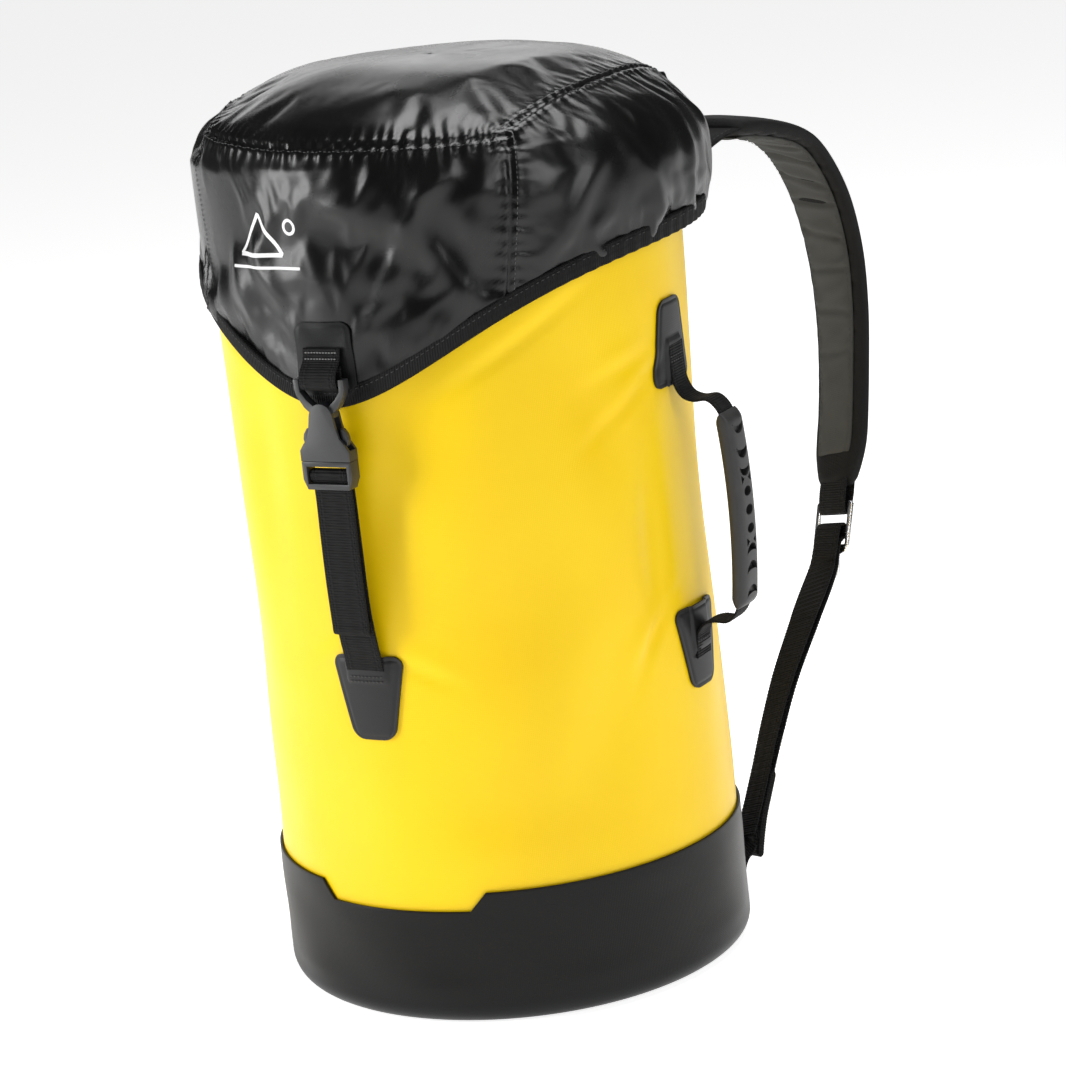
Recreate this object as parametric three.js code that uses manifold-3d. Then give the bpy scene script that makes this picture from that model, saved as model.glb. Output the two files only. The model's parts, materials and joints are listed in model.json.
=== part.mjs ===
// A rope storage bag for tree climbing and rigging: a round tarpaulin tube on a welded base, with a
// buckled lid, two shoulder straps, a side carrying handle and a haul loop.
// Millimetres. +Z is up, the front (the side with the buckle) faces -Y, +X is to the right of someone
// looking at the front. The origin is the middle of the flat base. Angles round the bag start at the
// front and grow towards +X.
import * as THREE from "three";
import { mergeVertices } from "three/addons/utils/BufferGeometryUtils.js";
import Module from "manifold-3d";

const wasm = await Module();
wasm.setup();

// ---- Driving dimensions ----
const BAG_R = 140; // outer radius of the tube
const BACK_FLAT = 0.9; // the back half is this much flatter than a half circle, at mid height
const CLOTH = 1.6; // tarpaulin
const WEB = 1.6; // webbing
const WEB_WIDE = 25;
const GAP = 0.3; // between touching pieces
const ROUND = 60; // sides of a ring

const BASE_R = 142.2; // the base's side wraps the foot of the tube
const BASE_CORNER = 10;
const BASE_TOP = 82;
const NOTCH_DEPTH = 11; // the base's side dips at the front
const NOTCH_IN = 17; // degrees, end of the low part
const NOTCH_OUT = 25; // degrees, where the full height starts

const RIM_Z = 500; // top edge of the tube
const LID_R = 150; // the lid at its fullest
const LID_HEM_R = 147;
const LID_FULL_Z = 470; // height of the fullest place
const LID_TOP_Z = 547;
const LID_SQUARE = 2.8; // superellipse power of the crown's profile
const HEM_Z = 448; // lower edge of the lid at the back
const HEM_DROP = 76; // how far the front point hangs below that
const HEM_TURN = 42; // degrees over which it falls
const HEM_POWER = 1.77;
const HEM_WIDE = 11;
const CROWN_R = 141; // plan radius of the crown's front and back seams
const CROWN_HALF = 105; // half width of the crown at those seams
const CROWN_BULGE = 10; // extra half width halfway back

const PATCH_LONG = 50; // the welded patches that hold webbing
const PATCH_WIDE = 48;
const PATCH_NARROW = 27;
const PATCH_CORNER = 7;
const FRONT_PATCH_Z = 225; // wide end, at the top
const HANDLE_UPPER_Z = 354; // wide end, at the bottom
const HANDLE_LOWER_Z = 222; // wide end, at the top

const BUCKLE_Y = -154.5; // middle plane of the front buckle
const BUCKLE_HALF = 16; // half its width
const BUCKLE_THICK = 9;
const TAB_BAR_Z = 388; // bar that the lid's tab holds
const MOUTH_Z = 344; // where socket and clip meet
const LADDER_BAR_Z = 335.5; // bar that the front strap turns round

const GRIP_X = 172;
const GRIP_TOP = 338;
const GRIP_BOTTOM = 221;
const GRIP_WIDE = 23;
const GRIP_THICK = 10;
const HANDLE_WEB = 18;

const PAD_WIDE = 58;
const PAD_END_WIDE = 44;
const PAD_THICK = 12;
const ADJUSTER_HALF = 17;

// ---- Finishes ----
const finish = (color, roughness, metalness = 0) =>
  new THREE.MeshStandardMaterial({ color, roughness, metalness });
const YELLOW = finish(0xf2d21c, 0.5);
const LID_BLACK = finish(0x1d1d1d, 0.25);
const BASE_BLACK = finish(0x2b2c2b, 0.45);
const PATCH_GREY = finish(0x454545, 0.5);
const WEB_BLACK = finish(0x141414, 0.9);
const NYLON_GREY = finish(0x3a3b3a, 0.85);
const BUCKLE_GREY = finish(0x5a5b5c, 0.45);
const GRIP_BLACK = finish(0x3b3b3b, 0.7);
const STEEL = finish(0xd8d8d8, 0.2, 1);

// ---- Shape helpers ----
const vec = (x, y, z) => new THREE.Vector3(x, y, z);
const deg = THREE.MathUtils.degToRad;
const lerp = THREE.MathUtils.lerp;
const smooth = THREE.MathUtils.smoothstep;
const X_AXIS = vec(1, 0, 0);
const Y_AXIS = vec(0, 1, 0);

// The mouth and the base stay rounder at the back than the middle.
const LEVELS = [BASE_CORNER + 2, 30, 180, 380, 500];
function flattened(y, z) {
  if (y <= 0) return y;
  const [, low, belly, shoulder, mouth] = LEVELS;
  const ramp = (start, end) => THREE.MathUtils.clamp((z - start) / (end - start), 0, 1);
  const round = 0.9 * (1 - ramp(low, belly)) + 0.8 * ramp(shoulder, mouth);
  return y * lerp(BACK_FLAT, 1, round);
}

// The point at an angle round the bag, in degrees.
function roundBag(angle, radius, z) {
  return vec(radius * Math.sin(deg(angle)), flattened(-radius * Math.cos(deg(angle)), z), z);
}

// The point of a round surface at the bag's back, at a distance x to the side.
const onBack = (x, radius, z) => vec(x, flattened(Math.sqrt(radius * radius - x * x), z), z);

const angleOf = (p) => THREE.MathUtils.radToDeg(Math.atan2(p.x, -p.y));

function facingOut(geometry) {
  const index = geometry.index.array;
  const at = geometry.getAttribute("position");
  const [a, b, c] = [vec(), vec(), vec()];
  let volume = 0;
  for (let i = 0; i < index.length; i += 3) {
    a.fromBufferAttribute(at, index[i]);
    b.fromBufferAttribute(at, index[i + 1]);
    c.fromBufferAttribute(at, index[i + 2]);
    volume += a.dot(b.cross(c));
  }
  if (volume < 0)
    for (let i = 0; i < index.length; i += 3)
      [index[i + 1], index[i + 2]] = [index[i + 2], index[i + 1]];
  geometry.computeVertexNormals();
  return geometry;
}

// The same shape with its shared corners joined.
function welded(geometry) {
  const bare = geometry.clone();
  bare.deleteAttribute("normal");
  bare.deleteAttribute("uv");
  return mergeVertices(bare, 1e-4);
}

// Moves every point p of a closed shape to map(p).
function moved(geometry, map) {
  const at = geometry.getAttribute("position");
  const p = vec();
  for (let i = 0; i < at.count; i++) {
    const q = map(p.fromBufferAttribute(at, i));
    at.setXYZ(i, q.x, q.y, q.z);
  }
  return facingOut(geometry);
}

// A closed slab of nu x nv cells, one cell thick: map(u, v, w) places it, with u, v and w from 0 to 1.
function slab(nu, nv, map) {
  const box = new THREE.BoxGeometry(1, 1, 1, nu, nv, 1);
  return moved(box, (p) => map(p.x + 0.5, p.y + 0.5, p.z + 0.5));
}

// A ring round the bag from a closed profile of [radius, z], each z moved by lift(angle, z).
function ring(profile, lift = (angle, z) => z) {
  const points = [...profile, profile[0]].map(([r, z]) => new THREE.Vector2(r, z));
  const lathe = new THREE.LatheGeometry(points, ROUND).rotateX(Math.PI / 2);
  return moved(lathe, (p) => {
    const z = lift(Math.abs(angleOf(p)), p.z);
    return vec(p.x, flattened(p.y, z), z);
  });
}

// A flat strip that follows control points. across is the direction of its width, face the side that
// offset counts towards. Each span between control points gets `perSpan` steps.
function strip({ points, across, width, thick = WEB, offset = 0, perSpan = 2, from = 0, to = 1 }) {
  const curve = new THREE.CatmullRomCurve3(points, false, "centripetal");
  const steps = Math.max(2, Math.round((points.length - 1) * perSpan * (to - from)));
  return slab(steps, 1, (u, v, w) => {
    const t = lerp(from, to, u);
    const along = curve.getTangent(t);
    const side = (typeof across === "function" ? across(t) : across).clone();
    side.addScaledVector(along, -side.dot(along)).normalize();
    const face = along.clone().cross(side);
    const half = (typeof width === "function" ? width(u) : width) / 2;
    return curve
      .getPoint(t)
      .addScaledVector(side, (2 * v - 1) * half)
      .addScaledVector(face, offset + (w - 0.5) * thick);
  });
}

function solidOf(geometry) {
  const merged = welded(geometry);
  const vertProperties = merged.attributes.position.array;
  const triVerts = new Uint32Array(merged.index.array);
  return new wasm.Manifold(new wasm.Mesh({ numProp: 3, vertProperties, triVerts }));
}

function geometryOf(solid) {
  const mesh = solid.getMesh();
  const geometry = new THREE.BufferGeometry();
  geometry.setAttribute("position", new THREE.BufferAttribute(mesh.vertProperties, 3));
  geometry.setIndex(new THREE.BufferAttribute(mesh.triVerts, 1));
  geometry.computeVertexNormals();
  return geometry;
}

const joined = (first, ...rest) =>
  geometryOf(rest.reduce((all, g) => all.add(solidOf(g)), solidOf(first)));
const cut = (first, ...rest) =>
  geometryOf(rest.reduce((all, g) => all.subtract(solidOf(g)), solidOf(first)));

const box = (wide, deep, tall, x, y, z) =>
  new THREE.BoxGeometry(wide, deep, tall).translate(x, y, z);

// A flat plate in the X-Z plane from an outline of [x, z], centred on y.
function plate(outline, thick, y, holes = []) {
  const shape = new THREE.Shape(outline.map(([x, z]) => new THREE.Vector2(x, z)));
  shape.holes = holes.map((h) => new THREE.Path(h.map(([x, z]) => new THREE.Vector2(x, z))));
  const made = new THREE.ExtrudeGeometry(shape, { depth: thick, bevelEnabled: false });
  return welded(made).rotateX(Math.PI / 2).translate(0, y + thick / 2, 0);
}

const mirrored = (outline) => [...outline, ...outline.map(([x, z]) => [-x, z]).reverse()];

const arc = (cx, cz, r, start, end, steps) =>
  Array.from({ length: steps + 1 }, (_, i) => {
    const a = deg(lerp(start, end, i / steps));
    return [cx + r * Math.cos(a), cz + r * Math.sin(a)];
  });

// ---- The assembly ----
const bag = new THREE.Group();

function add(name, material, geometry) {
  const mesh = new THREE.Mesh(geometry, material);
  mesh.name = name;
  bag.add(mesh);
}

// ---- Tube and base ----
function makeTube() {
  const outside = LEVELS.map((z) => [BAG_R, z]);
  const inside = LEVELS.map((z) => [BAG_R - CLOTH, z]).reverse();
  add("body_tube", YELLOW, ring([...outside, ...inside]));
}

// The height of the base's upper edge, with its dip at the front.
const baseTop = (angle) => BASE_TOP - NOTCH_DEPTH * (1 - smooth(angle, NOTCH_IN, NOTCH_OUT));

function makeBase() {
  const centre = BASE_R - BASE_CORNER;
  const thick = BASE_R - BAG_R - GAP;
  const outside = arc(centre, BASE_CORNER, BASE_CORNER, -90, 0, 5);
  const inside = arc(centre, BASE_CORNER, BASE_CORNER - thick, 0, -90, 5);
  const low = LEVELS[1];
  const top = [[BASE_R, low], [BASE_R, BASE_TOP], [BASE_R - thick, BASE_TOP], [BASE_R - thick, low]];
  const lift = (angle, z) => (z === BASE_TOP ? baseTop(angle) : z);
  add("base_side", BASE_BLACK, ring([...outside, ...top, ...inside], lift));
  const disc = new THREE.CylinderGeometry(centre - GAP, centre - GAP, thick, ROUND);
  disc.rotateX(Math.PI / 2).translate(0, 0, thick / 2);
  add("base_disc", BASE_BLACK, moved(disc, (p) => vec(p.x, flattened(p.y, 0), p.z)));
}

// ---- Mouth ----
const RIM_TAPE_R = 141.5;
const COLLAR_R = 136;
const COLLAR_MOUTH_R = 66;

function makeMouth() {
  const inner = BAG_R - CLOTH;
  const low = RIM_Z - 12;
  const high = RIM_Z + 1.6;
  const tape = [
    [RIM_TAPE_R, low], [RIM_TAPE_R, high], [inner - 1.4, high], [inner - 1.4, low],
    [inner - GAP, low], [inner - GAP, RIM_Z + GAP], [BAG_R + GAP, RIM_Z + GAP], [BAG_R + GAP, low],
  ];
  add("rim_tape", WEB_BLACK, ring(tape));
  const outside = [[COLLAR_R, 460], [COLLAR_R, 507], [126, 521], [102, 531], [COLLAR_MOUTH_R, 534]];
  const inside = [[COLLAR_MOUTH_R, 532.6], [101.5, 529.6], [125, 519.8], [COLLAR_R - 1.4, 506], [COLLAR_R - 1.4, 460]];
  add("closure_collar", NYLON_GREY, ring([...outside, ...inside]));
}

// ---- Lid ----
const LID_RISE = LID_TOP_Z - LID_FULL_Z;

// Height of the lid's lower edge at an angle: a point at the front, level at the back.
const hemZ = (angle) =>
  HEM_Z - HEM_DROP * Math.exp(-Math.pow(Math.abs(angle) / HEM_TURN, HEM_POWER));

function lidRadius(z) {
  if (z <= LID_FULL_Z) return lerp(LID_HEM_R, LID_R, smooth(z, 400, LID_FULL_Z));
  return LID_R * Math.pow(1 - Math.pow((z - LID_FULL_Z) / LID_RISE, LID_SQUARE), 1 / LID_SQUARE);
}

const crownZ = (radius) =>
  LID_FULL_Z + LID_RISE * Math.pow(1 - Math.pow(radius / LID_R, LID_SQUARE), 1 / LID_SQUARE);

// A point of the lid, `deep` under its outer face along the profile's normal.
function lidPoint(angle, radius, z, deep) {
  const out = Math.pow(radius / LID_R, LID_SQUARE - 1) / LID_R;
  const up = z > LID_FULL_Z ? Math.pow((z - LID_FULL_Z) / LID_RISE, LID_SQUARE - 1) / LID_RISE : 0;
  const length = Math.hypot(out, up);
  return roundBag(angle, radius - (deep * out) / length, z - (deep * up) / length);
}

// Plan position of the seam between crown and side panel; v runs from -1 at the front to 1 at the back.
function crownEdge(v) {
  const x = CROWN_HALF + CROWN_BULGE * (1 - v * v);
  return { x, y: v * Math.sqrt(CROWN_R * CROWN_R - x * x) };
}

const SEAM = GAP / 2;
const CORNER_ANGLE = THREE.MathUtils.radToDeg(Math.atan2(CROWN_HALF, -crownEdge(-1).y));

function lidWall(angleAt, topAt, cells) {
  return slab(cells, 5, (u, v, w) => {
    const angle = angleAt(u);
    const z = lerp(hemZ(angle) + HEM_WIDE + GAP, topAt(u) - SEAM, v);
    return lidPoint(angle, lidRadius(z), z, (1 - w) * CLOTH);
  });
}

function makeLid() {
  const seamZ = crownZ(CROWN_R);
  const reach = CORNER_ANGLE - 0.1;
  add("lid_front", LID_BLACK, lidWall((u) => lerp(-reach, reach, u), () => seamZ, 16));
  add("lid_back", LID_BLACK, lidWall((u) => lerp(180 - reach, 180 + reach, u), () => seamZ, 12));
  for (const [side, name] of [[1, "lid_side_right"], [-1, "lid_side_left"]]) {
    const edgeAt = (u) => crownEdge(lerp(-0.998, 0.998, u));
    const angleAt = (u) => side * THREE.MathUtils.radToDeg(Math.atan2(edgeAt(u).x, -edgeAt(u).y));
    const topAt = (u) => crownZ(Math.hypot(edgeAt(u).x, edgeAt(u).y) + SEAM);
    add(name, LID_BLACK, lidWall(angleAt, topAt, 16));
  }
  const crown = slab(12, 14, (u, v, w) => {
    const edge = crownEdge(2 * v - 1).x - SEAM;
    const x = lerp(-edge, edge, u);
    const limit = CROWN_R - SEAM;
    const y = (2 * v - 1) * Math.sqrt(limit * limit - x * x);
    const radius = Math.hypot(x, y);
    return lidPoint(angleOf({ x, y }), radius, crownZ(radius), (1 - w) * CLOTH);
  });
  add("lid_crown", LID_BLACK, crown);
  const hem = [[LID_HEM_R + 1, 0], [LID_HEM_R + 1, HEM_WIDE], [LID_HEM_R - 1.9, HEM_WIDE], [LID_HEM_R - 1.9, 0]];
  add("lid_hem_tape", WEB_BLACK, ring(hem, (angle, z) => z + hemZ(angle)));
}

// A strip of cloth lying on the tube between two angles and two heights.
function clothOnTube(angles, heights, inner, thick, cells) {
  return slab(cells, 2, (u, v, w) =>
    roundBag(lerp(...angles, u), inner + w * thick, lerp(...heights, v)),
  );
}

function makeHingeStrip() {
  const reach = 38;
  const strip = clothOnTube([180 - reach, 180 + reach], [416, HEM_Z - 1], BAG_R + GAP, 1.2, 16);
  add("lid_hinge_strip", BASE_BLACK, strip);
}

// ---- Welded patches ----
// How far a rounded corner pulls the edge in, at a distance from the end.
const cornerInset = (fromEnd) =>
  fromEnd >= PATCH_CORNER
    ? 0
    : PATCH_CORNER - Math.sqrt(PATCH_CORNER ** 2 - (PATCH_CORNER - fromEnd) ** 2);

// A patch round the bag at an angle: wideZ is its wide end, and it runs down (-1) or up (+1) from there.
function patch(angle, wideZ, run, inner) {
  const rows = 8;
  return slab(8, rows, (u, v, w) => {
    const near = Math.min(v, 1 - v) * rows; // rows crowd towards the ends, where the corners are
    const fromEnd = near >= 3 ? PATCH_CORNER + ((near - 3) * (PATCH_LONG / 2 - PATCH_CORNER)) : (PATCH_CORNER * near) / 3;
    const along = v < 0.5 ? fromEnd : PATCH_LONG - fromEnd;
    const wide = lerp(PATCH_WIDE, PATCH_NARROW, along / PATCH_LONG) - 2 * cornerInset(fromEnd);
    const across = THREE.MathUtils.radToDeg(((u - 0.5) * wide) / inner);
    return roundBag(angle + across, inner + w * 1.4, wideZ + run * along);
  });
}

function makePatches() {
  add("front_patch", PATCH_GREY, patch(0, FRONT_PATCH_Z, -1, BAG_R + GAP));
  add("handle_patch_upper", PATCH_GREY, patch(90, HANDLE_UPPER_Z, 1, BAG_R + GAP));
  add("handle_patch_lower", PATCH_GREY, patch(90, HANDLE_LOWER_Z, -1, BAG_R + GAP));
  const lidPatch = slab(6, 4, (u, v, w) => {
    const z = lerp(hemZ(8) + HEM_WIDE + 1, 421, v);
    const half = lerp(18, 16.5, v);
    const across = THREE.MathUtils.radToDeg(lerp(-half, half, u) / LID_HEM_R);
    return roundBag(across, lidRadius(z) + GAP + w * 1.2, z);
  });
  add("lid_patch", PATCH_GREY, lidPatch);
}

// ---- Front buckle ----
function makeLidTab() {
  const back = BUCKLE_Y + 3.2;
  const points = [
    vec(0, -149.7, 407), vec(0, -151.6, 400), vec(0, BUCKLE_Y - 2.6, 393), vec(0, BUCKLE_Y - 3.2, 388),
    vec(0, BUCKLE_Y - 2.2, 385.6), vec(0, BUCKLE_Y, 384.7), vec(0, BUCKLE_Y + 2.2, 385.6),
    vec(0, back, 388), vec(0, back, 392), vec(0, back + 0.6, 397),
  ];
  add("lid_tab", WEB_BLACK, strip({ points, across: X_AXIS, width: WEB_WIDE - 1, perSpan: 2 }));
}

function makeSocket() {
  const wall = 1.8;
  const z = MOUTH_Z;
  const half = mirrored([
    [BUCKLE_HALF, z], [BUCKLE_HALF, z + 6], [13.6, z + 9.5], [10.6, z + 13], [8.8, z + 19],
    [7.6, z + 26], ...arc(0, z + 25.5, 7.5, 12, 78, 4),
  ]);
  const front = plate(half, wall, BUCKLE_Y - (BUCKLE_THICK - wall) / 2);
  const rear = plate(half, wall, BUCKLE_Y + (BUCKLE_THICK - wall) / 2);
  const cheek = 1.7;
  const cheeks = [-1, 1].map((s) =>
    box(cheek, BUCKLE_THICK, 6, s * (BUCKLE_HALF - cheek / 2), BUCKLE_Y, z + 3),
  );
  const neck = plate(mirrored([[7.4, z + 24.5], ...arc(0, z + 25.5, 7.5, 5, 78, 4)]), BUCKLE_THICK - 0.2, BUCKLE_Y);
  const horn = [
    [5, z + 31.2], [7, z + 27], [11, z + 30.5], [15.2, z + 37], [16.4, TAB_BAR_Z - 3],
    [16.4, TAB_BAR_Z + 2.4], [13.2, TAB_BAR_Z + 2.4], [13, TAB_BAR_Z - 4.5], [9, z + 34.5],
  ];
  const horns = [1, -1].map((s) => plate(horn.map(([x, h]) => [s * x, h]), 5.4, BUCKLE_Y));
  const bar = new THREE.CylinderGeometry(1.7, 1.7, 28, 10).rotateZ(Math.PI / 2);
  bar.translate(0, BUCKLE_Y, TAB_BAR_Z);
  add("buckle_socket", BUCKLE_GREY, joined(front, rear, ...cheeks, neck, ...horns, bar));
}

function makeClip() {
  const top = MOUTH_Z - GAP;
  const shoulderLow = top - 2.8;
  const low = 327.6;
  const lip = 3.2;
  const rail = 2.9;
  const frame = plate(
    mirrored([[BUCKLE_HALF, top], [BUCKLE_HALF, low + 6], [BUCKLE_HALF - 2.5, low], [4, low]]),
    BUCKLE_THICK,
    BUCKLE_Y,
  );
  const inside = BUCKLE_HALF - rail;
  const window = box(2 * inside, BUCKLE_THICK + 2, shoulderLow - low - lip, 0, BUCKLE_Y, (shoulderLow + low + lip) / 2);
  const lipCut = box(2 * inside, 7.7, 8, 0, BUCKLE_Y + 1.85, low + 1);
  const bar = new THREE.CylinderGeometry(1.7, 1.7, 2 * inside + 2, 10).rotateZ(Math.PI / 2);
  bar.translate(0, BUCKLE_Y, LADDER_BAR_Z);
  const tongue = plate(mirrored([[4.2, top - 0.5], [4.2, top + 3], [3, top + 13], [1.5, top + 14.6]]), 3.2, BUCKLE_Y);
  add("buckle_clip", BUCKLE_GREY, joined(cut(frame, window, lipCut), bar, tongue));
}

// One springing latch arm of the clip, with the pad that a finger presses.
function makeLatches() {
  const z = MOUTH_Z;
  const arm = [
    [8, z + 0.1], [11.2, z + 0.1], [12, z + 7], [14, z + 8.8], [14.9, z + 12], [14.2, z + 15],
    [12, z + 18.2], [10.2, z + 18.8], [10.1, z + 16], [10.5, z + 12], [9.4, z + 7],
  ];
  for (const [side, name] of [[1, "buckle_latch_right"], [-1, "buckle_latch_left"]])
    add(name, BUCKLE_GREY, plate(arm.map(([x, h]) => [side * x, h]), 3.4, BUCKLE_Y));
}

function makeFrontStrap() {
  const z = LADDER_BAR_Z;
  const round = 2.9; // from the bar's axis to the middle of the webbing
  const wrap = arc(BUCKLE_Y, z, round, 0, 180, 6).map(([y, h]) => vec(0, y, h));
  const points = [
    vec(0, -143.2, 217), vec(0, -144.4, 225), vec(0, -146.8, 236), vec(0, -149.6, 256),
    vec(0, -150.6, 290), vec(0, BUCKLE_Y + 3.3, 320), vec(0, BUCKLE_Y + round, 330),
    ...wrap,
    vec(0, BUCKLE_Y - 2.3, z - 2.5), vec(0, BUCKLE_Y - 0.2, z - 6), vec(0, BUCKLE_Y + 0.4, z - 12),
    vec(0, -154.2, 300), vec(0, -154, 272), vec(0, -152.8, 246),
  ];
  add("front_strap", WEB_BLACK, strip({ points, across: X_AXIS, width: WEB_WIDE, perSpan: 2 }));
}

// ---- Side handle ----
function makeHandle() {
  const long = GRIP_TOP - GRIP_BOTTOM;
  const middle = (GRIP_TOP + GRIP_BOTTOM) / 2;
  const bow = (z) => GRIP_X + 2.6 - 3.6 * ((z - middle) / (long / 2)) ** 2;
  const held = [338, 322, 300, 280, 260, 238, 221].map((z) => vec(bow(z), 0, z));
  const loop = { across: Y_AXIS, width: HANDLE_WEB };
  const points = [vec(149, 0, 345.6), vec(155, 0, 345), vec(164, 0, 345), ...held,
    vec(164, 0, 213.5), vec(155, 0, 213.5), vec(149, 0, 212.9)];
  add("handle_webbing", WEB_BLACK, strip({ points, ...loop }));
  const upper = [vec(143.1, 0, 378), vec(143.1, 0, 362), vec(144, 0, 353.8), vec(147, 0, 349.8)];
  add("handle_anchor_upper", WEB_BLACK, strip({ points: upper, ...loop }));
  const lower = [vec(143.1, 0, 194), vec(143.1, 0, 203), vec(144, 0, 206), vec(147, 0, 208.8)];
  add("handle_anchor_lower", WEB_BLACK, strip({ points: lower, ...loop }));

  const section = (scaleX, scaleY) => {
    const tube = new THREE.CylinderGeometry(1, 1, long, 24, 8).rotateX(Math.PI / 2);
    return moved(tube, (p) => {
      const square = (c) => Math.sign(c) * Math.pow(Math.abs(c), 0.6);
      return vec(scaleX * square(p.x), scaleY * square(p.y), p.z);
    });
  };
  const bowed = (geometry) =>
    moved(geometry, (p) => {
      const z = p.z + middle;
      return vec(p.x + bow(z), p.y, z);
    });
  const body = section(GRIP_THICK / 2, GRIP_WIDE / 2);
  const bore = slab(8, 1, (u, v, w) => vec((v - 0.5) * 4, (w - 0.5) * 19.4, (u - 0.5) * (long + 10)));
  const window = (z, halfTall) =>
    new THREE.CylinderGeometry(4.4, 4.4, 10, 14)
      .rotateZ(Math.PI / 2)
      .scale(1, 1, halfTall / 4.4)
      .translate(6, 0, z);
  const windows = [-14, 0, 14].map((z) => window(z, 4));
  const slots = [-44, -31, 31, 44].map((z) => window(z, 2.8).scale(1, 1.5, 1));
  add("handle_grip", GRIP_BLACK, bowed(cut(body, bore, ...windows, ...slots)));
}

// ---- Back: yoke, haul loop and shoulder straps ----
function makeYoke() {
  add("back_yoke", BASE_BLACK, clothOnTube([148, 212], [372, 411], BAG_R + GAP, 1.6, 14));
}

const HAUL_Z = 402;

function makeHaulLoop() {
  const y = onBack(0, BAG_R + 3.4, HAUL_Z + 5).y;
  const points = [
    vec(0, y + 0.4, HAUL_Z + 2), vec(0, y + 1.6, HAUL_Z - 8), vec(0, y + 2, HAUL_Z - 24),
    vec(0, y + 5, HAUL_Z - 40), vec(0, y + 11, HAUL_Z - 47), vec(0, y + 18, HAUL_Z - 43),
    vec(0, y + 21, HAUL_Z - 28), vec(0, y + 19, HAUL_Z - 10), vec(0, y + 10, HAUL_Z + 1),
    vec(0, y + 3.4, HAUL_Z + 3.4),
  ];
  add("haul_loop", WEB_BLACK, strip({ points, across: X_AXIS, width: WEB_WIDE, perSpan: 2 }));
}

const ANCHOR_ANGLE = 135.4; // where the lower webbing is welded to the base

// Middle line of one shoulder strap, from just off the yoke over the arch to the end of the pad.
const strapLine = (side) =>
  [
    [44, 137, 420], [49, 150, 435], [58, 176, 453], [66, 214, 464], [73, 257, 459], [80, 300, 442],
    [86, 325, 409], [90, 337, 368], [93, 336, 328], [95, 328, 290], [98, 311, 248], [100, 291, 213],
  ].map(([x, y, z]) => vec(side * x, y, z));
const WEB_END = 3 / 11; // share of the line where the top webbing ends and the pad starts

// The strap lies flat on the back at its top and turns its face inwards as it comes down.
const strapAcross = (side) => (t) => {
  const turn = deg(lerp(15, 26, smooth(t, 0, 0.55)));
  return vec(Math.cos(turn), -side * Math.sin(turn), 0);
};

const padWidth = (u) =>
  lerp(54, PAD_WIDE, smooth(u, 0, 0.2)) +
  (PAD_END_WIDE - PAD_WIDE) * smooth(u, 0.35, 0.85) -
  18 * Math.pow(Math.max(0, (u - 0.88) / 0.12), 2.2);

// The adjuster's own frame: `down` along the strap past the pad's end, `face` towards the bag.
function adjusterFrame(side) {
  const curve = new THREE.CatmullRomCurve3(strapLine(side), false, "centripetal");
  const end = curve.getPoint(1);
  const down = vec(0, -0.42, -0.91).normalize();
  const across = strapAcross(side)(1);
  across.addScaledVector(down, -across.dot(down)).normalize();
  const face = down.clone().cross(across).multiplyScalar(1);
  if (face.y > 0) face.negate();
  const at = (d, f, a = 0) =>
    end.clone().addScaledVector(down, d).addScaledVector(face, f).addScaledVector(across, a);
  return { across, at };
}

function makeAdjuster(side, name) {
  const { at } = adjusterFrame(side);
  const h = ADJUSTER_HALF;
  const slot = (low, high) => [[-13.4, low], [13.4, low], [13.4, high], [-13.4, high]];
  const outline = [
    [h - 2, 9], [h, 11], [h, 39], [h - 3, 43], [8, 45], ...arc(0, 51, 8, 0, 180, 8), [-8, 45],
    [-h + 3, 43], [-h, 39], [-h, 11], [-h + 2, 9],
  ];
  const holes = [slot(15.6, 27), slot(30.4, 38), arc(0, 51, 4.2, 0, 324, 9)];
  const flat = plate(outline, 2.2, 0, holes);
  const bent = moved(flat, (p) => {
    const away = Math.max(0, p.z - 40);
    return at(p.z, p.y - 0.02 * away * away, p.x);
  });
  add(name, STEEL, bent);
}

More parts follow.
